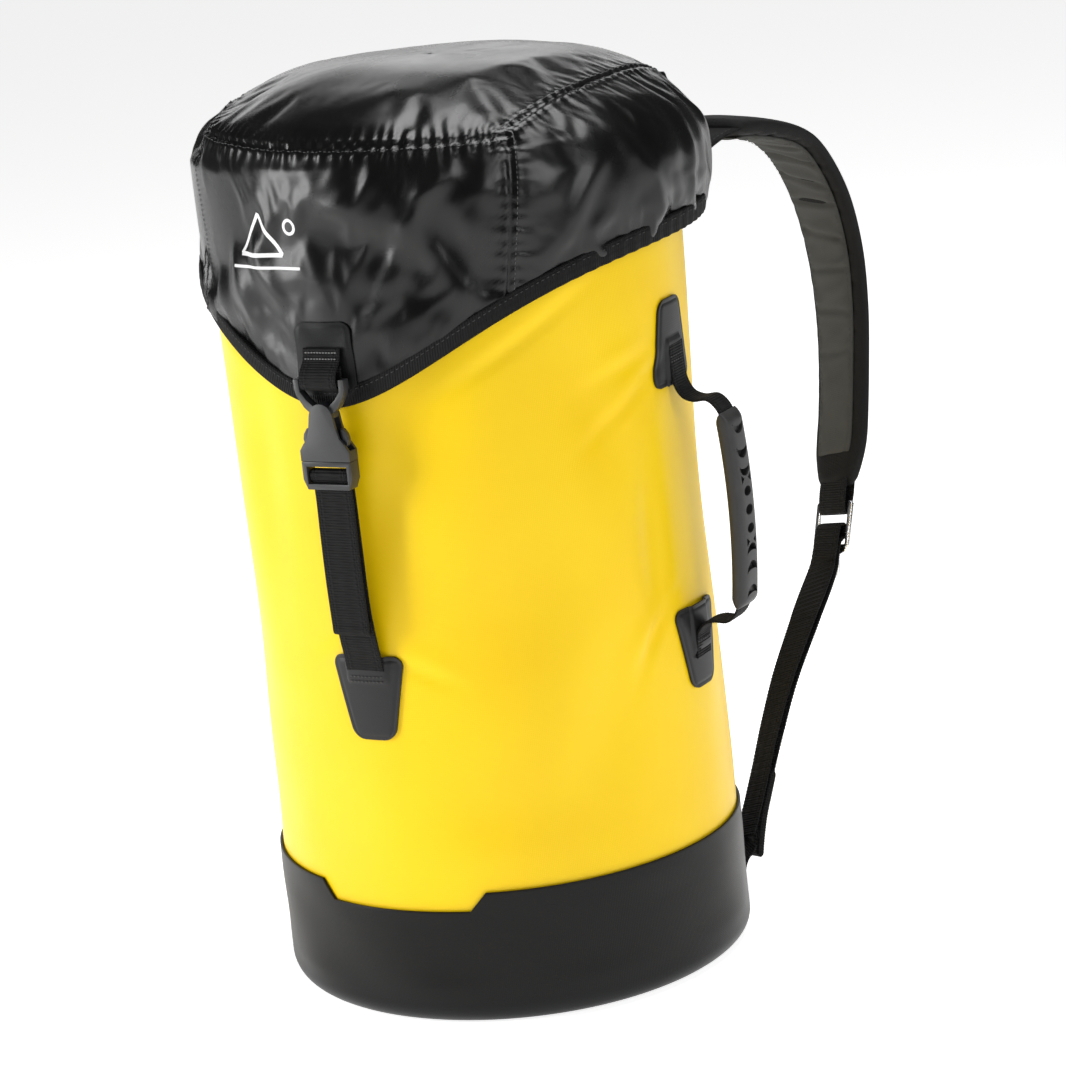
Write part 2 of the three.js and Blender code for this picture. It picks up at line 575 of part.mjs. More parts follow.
function makeShoulderStrap(side, word) {
  const points = strapLine(side);
  const across = strapAcross(side);
  const yokeFace = BAG_R + 2 * GAP + 2.8 + 1.6;
  const sewn = [[40, 0, 378], [40.5, 0, 396], [41.4, 1, 405], [42.4, 3.4, 412]];
  const sewnPoints = sewn.map(([x, out, z]) => onBack(side * x, yokeFace + out, z));
  add(`shoulder_sewn_end_${word}`, WEB_BLACK,
    strip({ points: sewnPoints, across: across(0), width: 46, thick: 2.4 }));
  const top = (u) => lerp(46, 52, u);
  add(`shoulder_top_web_${word}`, WEB_BLACK,
    strip({ points, across, width: top, thick: 2.4, to: WEB_END - 0.001, perSpan: 3 }));
  add(`shoulder_pad_${word}`, WEB_BLACK,
    strip({ points, across, width: padWidth, thick: PAD_THICK, from: WEB_END + 0.001, perSpan: 3 }));
  const faceSide = PAD_THICK / 2 + 5 * GAP + 0.8;
  add(`shoulder_facing_${word}`, NYLON_GREY,
    strip({ points, across, width: (u) => padWidth(u * 0.93) - 15, thick: 1.6, offset: faceSide,
      from: WEB_END + 0.01, to: 0.955, perSpan: 3 }));

  const { across: wide, at } = adjusterFrame(side);
  const tab = [
    at(2.8, -3.6), at(6, -3.5), at(12, -3), at(14.8, -2.7), at(16.9, -1.6), at(17.5, 0), at(16.9, 1.6),
    at(14.8, 2.7), at(12, 3), at(6, 3.5), at(2.8, 3.6),
  ];
  add(`adjuster_tab_${word}`, WEB_BLACK, strip({ points: tab, across: wide, width: WEB_WIDE }));
  makeAdjuster(side, `strap_adjuster_${word}`);

  const s = side;
  const foot = (z, out) => roundBag(side * ANCHOR_ANGLE, BASE_R + GAP + 2.7 + out, z);
  const low = [
    vec(s * 104.5, 104, 37), vec(s * 105, 113, 47), vec(s * 105.5, 129, 67),
    vec(s * 105.5, 150, 93), vec(s * 105, 178, 120), vec(s * 104, 216, 147),
  ];
  const threading = [
    at(52, 6.4), at(42, 5.2), at(34, 4.8), at(28, 4.2), at(25.6, 3), at(24.4, 0.4), at(25.6, -2),
    at(28.4, -2.8), at(31, -2.2), at(34.2, 0), at(36.6, 2), at(41, 2.6), at(52, 3),
  ];
  const tail = [
    vec(s * 104, 221, 143), vec(s * 105, 184, 117), vec(s * 105.5, 158, 91), vec(s * 106, 137, 68),
    vec(s * 106, 122, 48), vec(s * 106, 115, 34), vec(s * 106, 111, 22),
  ];
  const flatOnBase = vec(Math.cos(deg(42)), -side * Math.sin(deg(42)), 0);
  add(`base_strap_foot_${word}`, WEB_BLACK,
    strip({ points: [foot(12, 0), foot(22, 0.3), foot(28, 3), foot(31, 6)], across: flatOnBase, width: 24 }));
  const twist = (t) => flatOnBase.clone().lerp(wide, smooth(t, 0, 0.3));
  add(`lower_webbing_${word}`, WEB_BLACK,
    strip({ points: [...low, ...threading, ...tail], across: twist, width: WEB_WIDE - 1 }));
  const span = [side * ANCHOR_ANGLE - 10, side * ANCHOR_ANGLE + 10];
  add(`base_anchor_${word}`, PATCH_GREY, clothOnTube(span, [15, 48], BASE_R + GAP, 1.4, 8));
}

makeTube();
makeBase();
makeMouth();
makeLid();
makeHingeStrip();
makePatches();
makeLidTab();
makeSocket();
makeClip();
makeLatches();
makeFrontStrap();
makeHandle();
makeYoke();
makeHaulLoop();
makeShoulderStrap(1, "right");
makeShoulderStrap(-1, "left");

export default bag;
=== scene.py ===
# %% [markdown]
# # A rope storage bag
# The bag is a tall tube of coated cloth on a stiff welded base, with a gathered lid that a side-release
# buckle holds down. A moulded grip hangs on its side and two padded straps stand out behind it.
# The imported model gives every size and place, and each soft piece is made again here in its real form.

# %% Load the frame
import json
import math

import bpy
import numpy as np
from mathutils import Matrix, Vector, noise
from mathutils.bvhtree import BVHTree
from mathutils.kdtree import KDTree


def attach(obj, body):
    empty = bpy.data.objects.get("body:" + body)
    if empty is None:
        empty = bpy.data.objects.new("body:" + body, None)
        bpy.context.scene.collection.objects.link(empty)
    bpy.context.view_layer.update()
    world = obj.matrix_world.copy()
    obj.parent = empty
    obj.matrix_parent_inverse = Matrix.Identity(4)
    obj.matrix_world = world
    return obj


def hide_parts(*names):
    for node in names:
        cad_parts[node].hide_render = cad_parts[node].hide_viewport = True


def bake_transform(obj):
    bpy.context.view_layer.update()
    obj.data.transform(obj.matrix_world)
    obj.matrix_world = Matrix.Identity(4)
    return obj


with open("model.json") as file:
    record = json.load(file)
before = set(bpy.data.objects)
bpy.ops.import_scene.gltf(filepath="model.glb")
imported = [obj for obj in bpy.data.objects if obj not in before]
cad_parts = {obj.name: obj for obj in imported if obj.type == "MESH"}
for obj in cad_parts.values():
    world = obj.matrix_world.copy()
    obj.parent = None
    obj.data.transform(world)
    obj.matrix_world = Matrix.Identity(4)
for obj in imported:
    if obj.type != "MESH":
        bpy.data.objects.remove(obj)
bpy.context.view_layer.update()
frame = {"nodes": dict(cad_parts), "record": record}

MM = 0.001

# %% [markdown]
# ## The camera
# A long lens from 2.2 metres flattens the bag as a catalogue picture does. The camera stands to the
# right of the front and a little above, and is turned 6 degrees about its own line of sight.

# %% Camera
VIEW_TURN = 31  # degrees round the bag from its front
AZIMUTH, ELEVATION, ROLL = math.radians(VIEW_TURN), math.radians(14), math.radians(6)
DISTANCE, LENS = 2.2, 124.0
LOOK = Vector((0, 0, 0.27))
AIM_RIGHT, AIM_DOWN = 0.03105, 0.0141

towards = Vector((math.sin(AZIMUTH) * math.cos(ELEVATION),
                  -math.cos(AZIMUTH) * math.cos(ELEVATION),
                  math.sin(ELEVATION)))
right = Vector((math.cos(AZIMUTH), math.sin(AZIMUTH), 0))
up = towards.cross(right)
eye = LOOK + towards * DISTANCE
aim = LOOK + right * AIM_RIGHT - up * AIM_DOWN
camera_data = bpy.data.cameras.new("camera")
camera_data.lens = LENS
camera = bpy.data.objects.new("camera", camera_data)
bpy.context.scene.collection.objects.link(camera)
camera.location = eye
level = (aim - eye).to_track_quat("-Z", "Y")
camera.rotation_mode = "QUATERNION"
camera.rotation_quaternion = level @ Matrix.Rotation(-ROLL, 4, "Z").to_quaternion()
bpy.context.scene.camera = camera
print("camera at", [round(c, 3) for c in eye])

# %% [markdown]
# ## Floor and light
# Coated cloth shows its folds only through broad, soft reflections, so the light comes from four large
# panels. The surround is dim, which keeps the blacks deep, and the plain floor is nearly white and
# glows a little, so that it stays even far behind the bag.

# %% Floor and light
def panel_light(name, place, size, power, aim_at=(0, 0, 0.3)):
    """A rectangular light in metres and watts, turned to the bag, that isn't seen itself."""
    data = bpy.data.lights.new(name, "AREA")
    data.shape = "RECTANGLE"
    data.size, data.size_y = size
    data.energy = power
    light = bpy.data.objects.new(name, data)
    light.location = place
    light.rotation_mode = "QUATERNION"
    light.rotation_quaternion = (Vector(aim_at) - Vector(place)).to_track_quat("-Z", "Y")
    light.visible_camera = False
    bpy.context.scene.collection.objects.link(light)


def deselect():
    if bpy.context.object and bpy.context.object.mode != "OBJECT":
        bpy.ops.object.mode_set(mode="OBJECT")
    bpy.ops.object.select_all(action="DESELECT")


def only(obj):
    """Makes obj the one selected and active object, which most operators act on."""
    deselect()
    obj.select_set(True)
    bpy.context.view_layer.objects.active = obj
    return obj


panel_light("panel_left", (-1.75, -1.6, 0.9), (0.7, 1.5), 44)
panel_light("panel_right", (2.1, -0.9, 1.5), (0.6, 1.4), 17)
panel_light("panel_top", (0.3, 0.3, 2.2), (1.3, 0.9), 30)
panel_light("panel_back", (-1.15, 1.9, 1.15), (1.7, 1.0), 7)
world = bpy.data.worlds.new("surround")
world.use_nodes = True
backdrop = world.node_tree.nodes["Background"]
backdrop.inputs["Color"].default_value = (1, 1, 1, 1)
backdrop.inputs["Strength"].default_value = 0.05
bpy.context.scene.world = world
bpy.context.scene.view_settings.view_transform = "Standard"

deselect()
bpy.ops.mesh.primitive_plane_add(size=40, location=(0, 0, 0))
floor = bpy.context.object
floor.name = "floor"

# %% [markdown]
# ## Finishes
# One helper starts a Principled material. The others add what each cloth or plastic shows close up: the
# grid of the tarpaulin's base cloth, the ribs of webbing, the grain of moulded nylon.

# %% Material helpers
def grey(value):
    return (value, value, value)


def finish(name, colour, roughness, metallic=0.0):
    """A Principled material, and its shader."""
    material = bpy.data.materials.new(name)
    material.use_nodes = True
    shader = material.node_tree.nodes["Principled BSDF"]
    shader.inputs["Base Color"].default_value = (*colour, 1)
    shader.inputs["Roughness"].default_value = roughness
    shader.inputs["Metallic"].default_value = metallic
    return material, shader


def node(material, kind, settings=(), **inputs):
    """Adds a node. An input takes a value, or the output of another node; i0 is the first input."""
    made = material.node_tree.nodes.new(kind)
    for key, value in dict(settings).items():
        setattr(made, key, value)
    for key, value in inputs.items():
        place = int(key[1:]) if key[1:].isdigit() else key.replace("_", " ")
        if isinstance(value, bpy.types.NodeSocket):
            material.node_tree.links.new(value, made.inputs[place])
        else:
            made.inputs[place].default_value = value
    return made


def plug(material, output, socket):
    material.node_tree.links.new(output, socket)


def math_node(material, operation, *values):
    inputs = {f"i{i}": value for i, value in enumerate(values)}
    return node(material, "ShaderNodeMath", {"operation": operation}, **inputs).outputs[0]


def mottle(material, shader, vector, colour, scale, rough, tint, share):
    """Clouds that vary the roughness by `rough` and pull the colour a `share` towards `tint`."""
    base = shader.inputs["Roughness"].default_value
    cloud = node(material, "ShaderNodeTexNoise", {}, Vector=vector, Scale=scale, Detail=4.0)
    spread = node(material, "ShaderNodeMapRange", {}, Value=cloud.outputs["Fac"], i1=0.3, i2=0.7,
                  i3=base - rough, i4=base + rough)
    plug(material, spread.outputs[0], shader.inputs["Roughness"])
    amount = node(material, "ShaderNodeMapRange", {}, Value=cloud.outputs["Fac"], i1=0.4, i2=0.75,
                  i3=0.0, i4=share)
    mixed = node(material, "ShaderNodeMix", {"data_type": "RGBA"}, i0=amount.outputs[0],
                 i6=(*colour, 1), i7=(*tint, 1))
    plug(material, mixed.outputs[2], shader.inputs["Base Color"])


def bumped(material, shader, height, distance):
    """Raises the finish by `distance` metres where height is 1."""
    bump = node(material, "ShaderNodeBump", {}, Strength=1.0, Distance=distance, Height=height)
    plug(material, bump.outputs[0], shader.inputs["Normal"])


def threads(material, vector, direction, pitch, distortion=0.0):
    """Regular bands of one thread each. A wave texture repeats every pi / (10 x scale)."""
    wave = node(material, "ShaderNodeTexWave", {"bands_direction": direction}, Vector=vector,
                Scale=math.pi / 10 / pitch, Distortion=distortion, Detail=1.0)
    return wave.outputs["Fac"]


floor_finish, floor_shader = finish("floor_paper", grey(0.85), 0.95)
floor_shader.inputs["Emission Color"].default_value = (1, 1, 1, 1)
floor_shader.inputs["Emission Strength"].default_value = 0.82
floor.data.materials.append(floor_finish)

# %% [markdown]
# Tarpaulin is a polyester grid between two skins of soft plastic, so its gloss is broken by a fine
# regular grain. The grain follows the cloth, so it reads the UV map, which every sheet keeps in metres.

# %% Tarpaulin
def tarpaulin(name, colour, roughness, grain, pitch, tint, gloss=0.28, coat=0.0):
    """Coated cloth: grain is the height of its base cloth's threads, pitch their distance."""
    material, shader = finish(name, colour, roughness)
    uv = node(material, "ShaderNodeUVMap", {"uv_map": "cloth"}).outputs[0]
    mesh = math_node(material, "MULTIPLY", threads(material, uv, "X", pitch, 0.4),
                     threads(material, uv, "Y", pitch, 0.4))
    grit = node(material, "ShaderNodeTexNoise", {}, Vector=uv, Scale=700.0, Detail=3.0)
    skin = math_node(material, "MULTIPLY_ADD", grit.outputs["Fac"], 0.8, mesh)
    bumped(material, shader, skin, grain)
    mottle(material, shader, uv, colour, 16.0, 0.05, tint, 0.35)
    shader.inputs["Specular IOR Level"].default_value = gloss
    shader.inputs["Coat Weight"].default_value = coat
    shader.inputs["Coat Roughness"].default_value = 0.2
    return material


yellow_tarp = tarpaulin("yellow_tarp", (0.95, 0.64, 0.0), 0.38, 0.05 * MM, 1.1 * MM,
                        (0.92, 0.55, 0.0))
base_cloth = tarpaulin("base_cloth", (0.006, 0.0064, 0.0064), 0.38, 0.04 * MM, 1.1 * MM,
                       (0.010, 0.0104, 0.0104), 0.17)
patch_cloth = tarpaulin("patch", (0.018, 0.018, 0.0185), 0.42, 0.03 * MM, 0.9 * MM,
                        (0.026, 0.026, 0.0265), 0.24)
lid_cloth = tarpaulin("lid_cloth", grey(0.0035), 0.25, 0.02 * MM, 0.6 * MM, grey(0.008), 0.32, 0.1)

# %% [markdown]
# Webbing is woven from thick filaments: ribs 1.6 mm apart run across it and split into a herringbone
# along it. The lining is a plain matt nylon, the pads' facing a coarser one.

# %% Webbing and lining
def woven(name, colour, roughness, across, along, depth, tint):
    """Uncoated cloth, with threads `across` and `along` metres apart."""
    material, shader = finish(name, colour, roughness)
    uv = node(material, "ShaderNodeUVMap", {"uv_map": "cloth"}).outputs[0]
    ribs = threads(material, uv, "X", across)
    ends = threads(material, uv, "Y", along)
    twill = threads(material, uv, "DIAGONAL", (across + along) / 2)
    ribbed = math_node(material, "MULTIPLY_ADD", twill, 0.4, ribs)
    weave = math_node(material, "MULTIPLY_ADD", ends, 0.6, ribbed)
    bumped(material, shader, weave, depth)
    mottle(material, shader, uv, colour, 60.0, 0.05, tint, 0.5)
    shader.inputs["Specular IOR Level"].default_value = 0.2
    return material


webbing_cloth = woven("webbing", grey(0.005), 0.72, 1.6 * MM, 2.2 * MM, 0.35 * MM, grey(0.010))
lining_cloth = woven("lining", (0.055, 0.056, 0.053), 0.78, 0.7 * MM, 0.7 * MM, 0.1 * MM,
                     (0.075, 0.076, 0.072))
foam_cloth = woven("foam", grey(0.005), 0.7, 0.9 * MM, 0.9 * MM, 0.1 * MM, grey(0.009))

# %% [markdown]
# Moulded nylon and rubber have a fine spark-eroded grain, and the steel is polished bar with faint wear.
# These three read Object coordinates, because their pieces have no cloth map.

# %% Plastic, rubber and steel
def moulded(name, colour, roughness, depth, tint, metallic=0.0):
    material, shader = finish(name, colour, roughness, metallic)
    place = node(material, "ShaderNodeTexCoord").outputs["Object"]
    grain = node(material, "ShaderNodeTexNoise", {}, Vector=place, Scale=1400.0, Detail=2.0)
    bumped(material, shader, grain.outputs["Fac"], depth)
    mottle(material, shader, place, colour, 60.0, 0.06, tint, 0.5)
    return material


buckle_nylon = moulded("buckle", (0.022, 0.0225, 0.024), 0.36, 0.03 * MM, (0.034, 0.035, 0.037))
grip_rubber = moulded("grip", grey(0.022), 0.5, 0.05 * MM, grey(0.045))
steel = moulded("steel", (0.78, 0.78, 0.79), 0.2, 0.005 * MM, (0.66, 0.66, 0.67), 1.0)
thread_finish = moulded("thread", grey(0.03), 0.6, 0.02 * MM, grey(0.05))
LOOKS = {"yellow_tarp": yellow_tarp, "base_cloth": base_cloth, "patch": patch_cloth,
         "lid_cloth": lid_cloth, "webbing": webbing_cloth, "lining": lining_cloth, "foam": foam_cloth,
         "buckle": buckle_nylon, "grip": grip_rubber, "steel": steel}
SLOT_OF = {part["node"]: part["material_slot"] for part in frame["record"]["subparts"]}
for name, slot_name in SLOT_OF.items():
    for place in frame["nodes"][name].material_slots:
        place.material = LOOKS[slot_name]

# %% [markdown]
# ## The shape of the bag
# Angles round the bag start at the front and grow towards the right-hand side. The back is a little
# flatter than the front. A filled bag isn't a true cylinder: its wall swells and dips by a few
# millimetres, and one function says how much, so that whatever lies on the wall can follow it.

# %% Round coordinates
BAG_R, BASE_R = 140.0, 142.2
BACK_FLAT = 0.9
WALL_ARC, LID_ARC = 2.44, 2.6  # mm of cloth per degree round the tube and round the lid


def ramp(z, start, end):
    return np.clip((z - start) / (end - start), 0, 1)


def smooth(t):
    t = np.clip(t, 0, 1)
    return t * t * (3 - 2 * t)


def lerp(a, b, t):
    return a + (b - a) * t


def wrapped(angle):
    """The same angle between -180 and 180 degrees."""
    return (angle + 180) % 360 - 180


def round_bag(angle, radius, z):
    """Points in mm from angles in degrees, radii and heights (arrays or numbers)."""
    angle, radius, z = np.broadcast_arrays(np.radians(angle), radius, z)
    x, y = radius * np.sin(angle), -radius * np.cos(angle)
    rounder = 0.4 * (1 - ramp(z, 30, 180)) + 0.8 * ramp(z, 380, 500)
    y = np.where(y > 0, y * lerp(BACK_FLAT, 1, rounder), y)
    return np.stack([x, y, z], -1)


# Each dent: angle, height, half width in degrees, half height, lean and depth, in mm.
DENTS = [(18, 372, 9, 60, 0.28, 1.7), (62, 350, 7, 45, -0.22, 1.6), (40, 250, 22, 40, 0.1, 1.1),
         (-28, 330, 8, 80, 0.05, 1.4), (-14, 130, 12, 45, 0.1, 1.0), (58, 176, 9, 50, 0.2, 1.5),
         (76, 268, 5, 60, 0.0, 1.5), (30, 130, 18, 26, 0.15, 0.9), (8, 300, 6, 40, 0.12, 0.9),
         (-60, 240, 16, 70, -0.1, 1.8), (120, 300, 14, 80, 0.1, 1.8), (-120, 210, 15, 70, -0.1, 1.8),
         (180, 240, 22, 60, 0.0, 2.2), (150, 140, 12, 50, 0.2, 1.4), (-155, 330, 14, 50, -0.2, 1.6)]
# Each crease: angle, height, half length, lean in radians and depth.
CREASES = [(72, 352, 46, 0.55, 0.9), (70, 372, 30, 0.3, 0.6), (74, 214, 34, 0.75, 0.9),
           (70, 198, 30, 1.0, 0.6), (-10, 226, 26, 0.5, 0.5), (14, 214, 24, -0.4, 0.5),
           (-30, 396, 60, -0.25, 0.9), (33, 418, 50, 0.45, 0.9), (46, 402, 60, 0.5, 0.7)]


def swell(angle, z):
    """How far the wall stands off its even shape, in mm."""
    angle, z = np.broadcast_arrays(np.asarray(angle, float), np.asarray(z, float))
    turned = wrapped(angle)
    out = np.sin(np.radians(3 * turned + z * 0.5)) * np.sin(z / 62.0)
    out = out + 0.6 * np.sin(np.radians(7 * turned) - z / 47.0)
    for at, height, wide, tall, lean, depth in DENTS:
        off = wrapped(turned - at)
        across = (off - lean * (z - height) * 0.41) / wide
        out = out - 2.6 * depth * np.exp(-across ** 2 - ((z - height) / tall) ** 2)
    for at, height, long, lean, depth in CREASES:
        away, rise = (turned - at) * WALL_ARC, z - height
        run = away * math.cos(lean) + rise * math.sin(lean)
        side = rise * math.cos(lean) - away * math.sin(lean)
        ends = np.exp(-(run / long) ** 2 * 2)
        valley = np.exp(-(side / 3.6) ** 2) - 0.6 * np.exp(-((side - 8) / 6) ** 2)
        out = out - 2.0 * depth * ends * valley
    return out * smooth(ramp(z, 70, 120))


at_middle = swell(np.arange(-180, 180), 250)
print("the wall runs from", round(float(at_middle.min()), 2), "to",
      round(float(at_middle.max()), 2), "mm off its even shape")

# %% [markdown]
# ## Sheets of cloth
# A sheet starts as a flat grid. Its points are placed by a function of (u, v), and its UV map keeps the
# cloth's own metres, so the weave never stretches. Solidify gives the cloth its thickness, outwards
# from the placed face when `out` is 1, and a small bevel rounds the cut edge.

# %% Sheet helpers
def set_points(obj, points):
    obj.data.vertices.foreach_set("co", (np.asarray(points) * MM).astype(np.float32).ravel())
    obj.data.update()


def cloth_map(obj, u, v, long, wide):
    """A UV map called cloth, in metres, from each vertex's u and v."""
    layer = obj.data.uv_layers[0] if obj.data.uv_layers else obj.data.uv_layers.new()
    layer.name = "cloth"
    corner = np.empty(len(obj.data.loops), int)
    obj.data.loops.foreach_get("vertex_index", corner)
    flat = np.stack([u[corner] * long * MM, v[corner] * wide * MM], -1)
    layer.data.foreach_set("uv", flat.astype(np.float32).ravel())


def on_whole_mesh(obj, *steps):
    """Runs each (mesh operator, settings) on all of an object's mesh."""
    only(obj)
    bpy.ops.object.mode_set(mode="EDIT")
    bpy.ops.mesh.select_all(action="SELECT")
    for operator, settings in steps:
        operator(**settings)
    bpy.ops.object.mode_set(mode="OBJECT")


JOINED = (bpy.ops.mesh.remove_doubles, {"threshold": 0.01 * MM})
FACING_OUT = (bpy.ops.mesh.normals_make_consistent, {"inside": False})


def grid(name, cells, place, long, wide, closed=False):
    """A grid of cells (nu, nv) whose points place(u, v) puts in mm; closed joins u = 0 to u = 1."""
    deselect()
    bpy.ops.mesh.primitive_grid_add(x_subdivisions=cells[0], y_subdivisions=cells[1], size=1,
                                    calc_uvs=True)
    made = bpy.context.object
    made.name = made.data.name = name
    flat = np.empty(len(made.data.vertices) * 3)
    made.data.vertices.foreach_get("co", flat)
    flat = flat.reshape(-1, 3)
    u, v = flat[:, 0] + 0.5, flat[:, 1] + 0.5
    cloth_map(made, u, v, long, wide)
    set_points(made, place(u, v))
    if closed:
        on_whole_mesh(made, JOINED)
    return made


def from_faces(name, verts, faces):
    """An object from points in mm and faces, with its normals outwards."""
    mesh = bpy.data.meshes.new(name)
    mesh.from_pydata([tuple(v * MM) for v in np.array(verts, float)], [], faces)
    made = bpy.data.objects.new(name, mesh)
    bpy.context.scene.collection.objects.link(made)
    outward(made)
    return made


def modify(obj, kind, **settings):
    """Adds a modifier and applies it."""
    only(obj)
    made = obj.modifiers.new(kind.lower(), kind)
    for key, value in settings.items():
        setattr(made, key, value)
    bpy.ops.object.modifier_apply(modifier=made.name)


def outward(obj):
    on_whole_mesh(obj, FACING_OUT)


def thicken(obj, thick, out=1, edge=0.4):
    modify(obj, "SOLIDIFY", thickness=thick * MM, offset=out, use_even_offset=True,
           use_quality_normals=True)
    if edge:
        modify(obj, "BEVEL", width=edge * MM, segments=2, limit_method="ANGLE",
               angle_limit=math.radians(50))


def middle_face(obj):
    return obj.data.polygons[len(obj.data.polygons) // 2]


def outer_side(face, angle):
    """1 if a mesh face looks out of the bag at an angle round it, or -1."""
    out = Vector((math.sin(math.radians(angle)), -math.cos(math.radians(angle)), 0))
    return 1 if face.normal.dot(out) > 0 else -1


def polish(obj, slot_name, body, replaced=(), angle=40, look=None):
    """Smooth shading, the slot's finish or the given look, and the body: the last step of every piece.
    """
    only(obj)
    bpy.ops.object.shade_smooth_by_angle(angle=math.radians(angle))
    obj.data.materials.clear()
    obj.data.materials.append(look or LOOKS[slot_name])
    if replaced:
        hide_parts(*replaced)
    if body:
        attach(obj, body)
    return obj

# %% [markdown]
# ## The tube
# The body is one sheet of yellow tarpaulin rolled into a tube and welded up the back. It could be a
# plain cylinder, but a filled bag shows soft hollows and the creases that its handles pull.

# %% Tube
def wall(angle, z):
    return round_bag(angle, BAG_R + swell(angle, z), z)


tube = grid("tube_cloth", (280, 130), lambda u, v: wall(360 * u - 180, 15 + 485 * v), 880, 485,
            closed=True)
thicken(tube, 1.6, out=-1, edge=0)
polish(tube, "yellow_tarp", "bag", ["body_tube"])
print("tube:", len(tube.data.polygons), "faces")

# %% [markdown]
# ## The base
# A heavier black boot is welded over the foot of the tube. Its upper edge dips at the front between two
# short slanted steps, and its foot turns under on a 13 mm radius to meet the round bottom sheet. Columns
# are one degree apart, so that the corners of the dip fall on grid lines.

# %% Base
BASE_TOP, NOTCH_DEPTH, NOTCH_LOW, NOTCH_HIGH, CORNER = 82.0, 11.0, 19.0, 23.0, 13.0


def base_top(angle):
    turned = np.abs(wrapped(angle))
    return BASE_TOP - NOTCH_DEPTH * (1 - ramp(turned, NOTCH_LOW, NOTCH_HIGH))


def boot(u, v):
    angle = 360 * u - 180
    low = 0.24  # the share of v that the rounded corner takes
    bend = np.clip(v / low, 0, 1) * math.pi / 2
    radius = BASE_R - CORNER + CORNER * np.sin(bend)
    rise = CORNER - CORNER * np.cos(bend)
    side = ramp(v, low, 1.0)
    z = np.where(v < low, rise, lerp(CORNER, base_top(angle), side))
    turned = np.radians(angle)
    dents = (0.55 * np.sin(5 * turned + z / 30) * np.sin(3 * turned + 1.2)
             + 0.3 * np.sin(11 * turned + z / 17))
    pinch = 0.9 * np.exp(-((z - 22) / 10) ** 2) * (0.5 + 0.5 * np.sin(9 * turned))
    fade = ramp(z, 4, 24) * (1 - ramp(z, 60, 74))
    return round_bag(angle, radius + swell(angle, z) + dents * fade + pinch * fade, z)


base = grid("base_boot", (360, 52), boot, 890, 90, closed=True)
thicken(base, 1.7, out=-1, edge=0.35)
polish(base, "base_cloth", "bag", ["base_side"])

bottom = grid("base_bottom", (96, 24), lambda u, v: round_bag(360 * u - 180, 128.9 * (1 - v), 0 * u),
              800, 128, closed=True)
outward(bottom)
thicken(bottom, 1.6, out=-1 if bottom.data.polygons[0].normal.z < 0 else 1, edge=0)
polish(bottom, "base_cloth", "bag", ["base_disc"])

# %% [markdown]
# ## The lid's even shape
# The lid is a round cap: a flat-topped dome that falls to a straight skirt, longer at the front where it
# comes to a point. It is drawn from the middle outwards: `run` is the distance along the cloth from the
# top, so a square grid can be laid over it with cells of nearly one size and no pole.

# %% Lid profile
LID_R, LID_HEM_R, LID_FULL_Z, LID_TOP_Z, LID_SQUARE = 150.0, 147.0, 470.0, 543.0, 2.9
HEM_Z, HEM_DROP, HEM_TURN, HEM_POWER = 444.0, 72.0, 42.0, 1.77
sweep = np.linspace(0, math.pi / 2, 400)
dome_r = LID_R * np.sin(sweep) ** (2 / LID_SQUARE)
dome_z = LID_FULL_Z + (LID_TOP_Z - LID_FULL_Z) * np.cos(sweep) ** (2 / LID_SQUARE)
dome_run = np.concatenate([[0], np.cumsum(np.hypot(np.diff(dome_r), np.diff(dome_z)))])
DOME = float(dome_run[-1])


def hem_z(angle):
    turned = np.abs(wrapped(np.asarray(angle)))
    return HEM_Z - HEM_DROP * np.exp(-(turned / HEM_TURN) ** HEM_POWER)


def full_run(angle):
    return DOME + LID_FULL_Z - hem_z(angle)


def profile(run):
    """Radius and height of the even lid at a distance from its top."""
    z = np.where(run <= DOME, np.interp(run, dome_run, dome_z), LID_FULL_Z - (run - DOME))
    skirt = lerp(LID_HEM_R, LID_R, smooth(ramp(z, 400, LID_FULL_Z)))
    return np.where(run <= DOME, np.interp(run, dome_run, dome_r), skirt), z


def lean(angle, z):
    """The lid sits fuller on one shoulder and slides a little to the other side, in mm."""
    across = np.sin(np.radians(angle - VIEW_TURN))  # 1 at the right of the view, -1 at the left
    right_side, left_side = np.clip(across, 0, 1), np.clip(-across, 0, 1)
    from_front = np.abs(wrapped(angle))
    right_side = right_side * (1 - smooth(ramp(from_front, 130, 152)))  # clear of the straps behind
    out = 6.0 * right_side ** 1.5 * np.exp(-((z - 482) / 42) ** 2)
    out = out + 4.0 * left_side * np.exp(-((z - 524) / 16) ** 2)
    return out - 8.0 * left_side * np.exp(-((z - 472) / 34) ** 2)


def lid_frame(angle, run):
    """Points and outward normals of the even lid."""
    r0, z0 = profile(np.maximum(run - 0.5, 0))
    r1, z1 = profile(run + 0.5)
    radius, z = profile(run)
    slope = np.stack([-(z1 - z0), r1 - r0], -1)
    slope = slope / np.maximum(np.linalg.norm(slope, axis=-1, keepdims=True), 1e-9)
    turned = np.radians(angle)
    normal = np.stack([slope[..., 0] * np.sin(turned), -slope[..., 0] * np.cos(turned),
                       slope[..., 1]], -1)
    point = round_bag(angle, radius, z) + normal * lean(angle, z)[..., None]
    return point, normal


print("lid cloth from top to hem:", round(float(full_run(0)), 1), "mm at the front,",
      round(float(full_run(180)), 1), "at the back")

# %% [markdown]
# ## The lid's seams
# Five panels make the lid: crown, front, back and two sides. The front seam runs across under the
# crown, and from its ends one seam climbs over each shoulder to the back and another drops to the hem.

# %% Seam lines
SEAM_FRONT_RUN = float(np.interp(516.0, dome_z[::-1], dome_run[::-1]))
CORNER_TURN, CORNER_FOOT = 47.0, 42.0


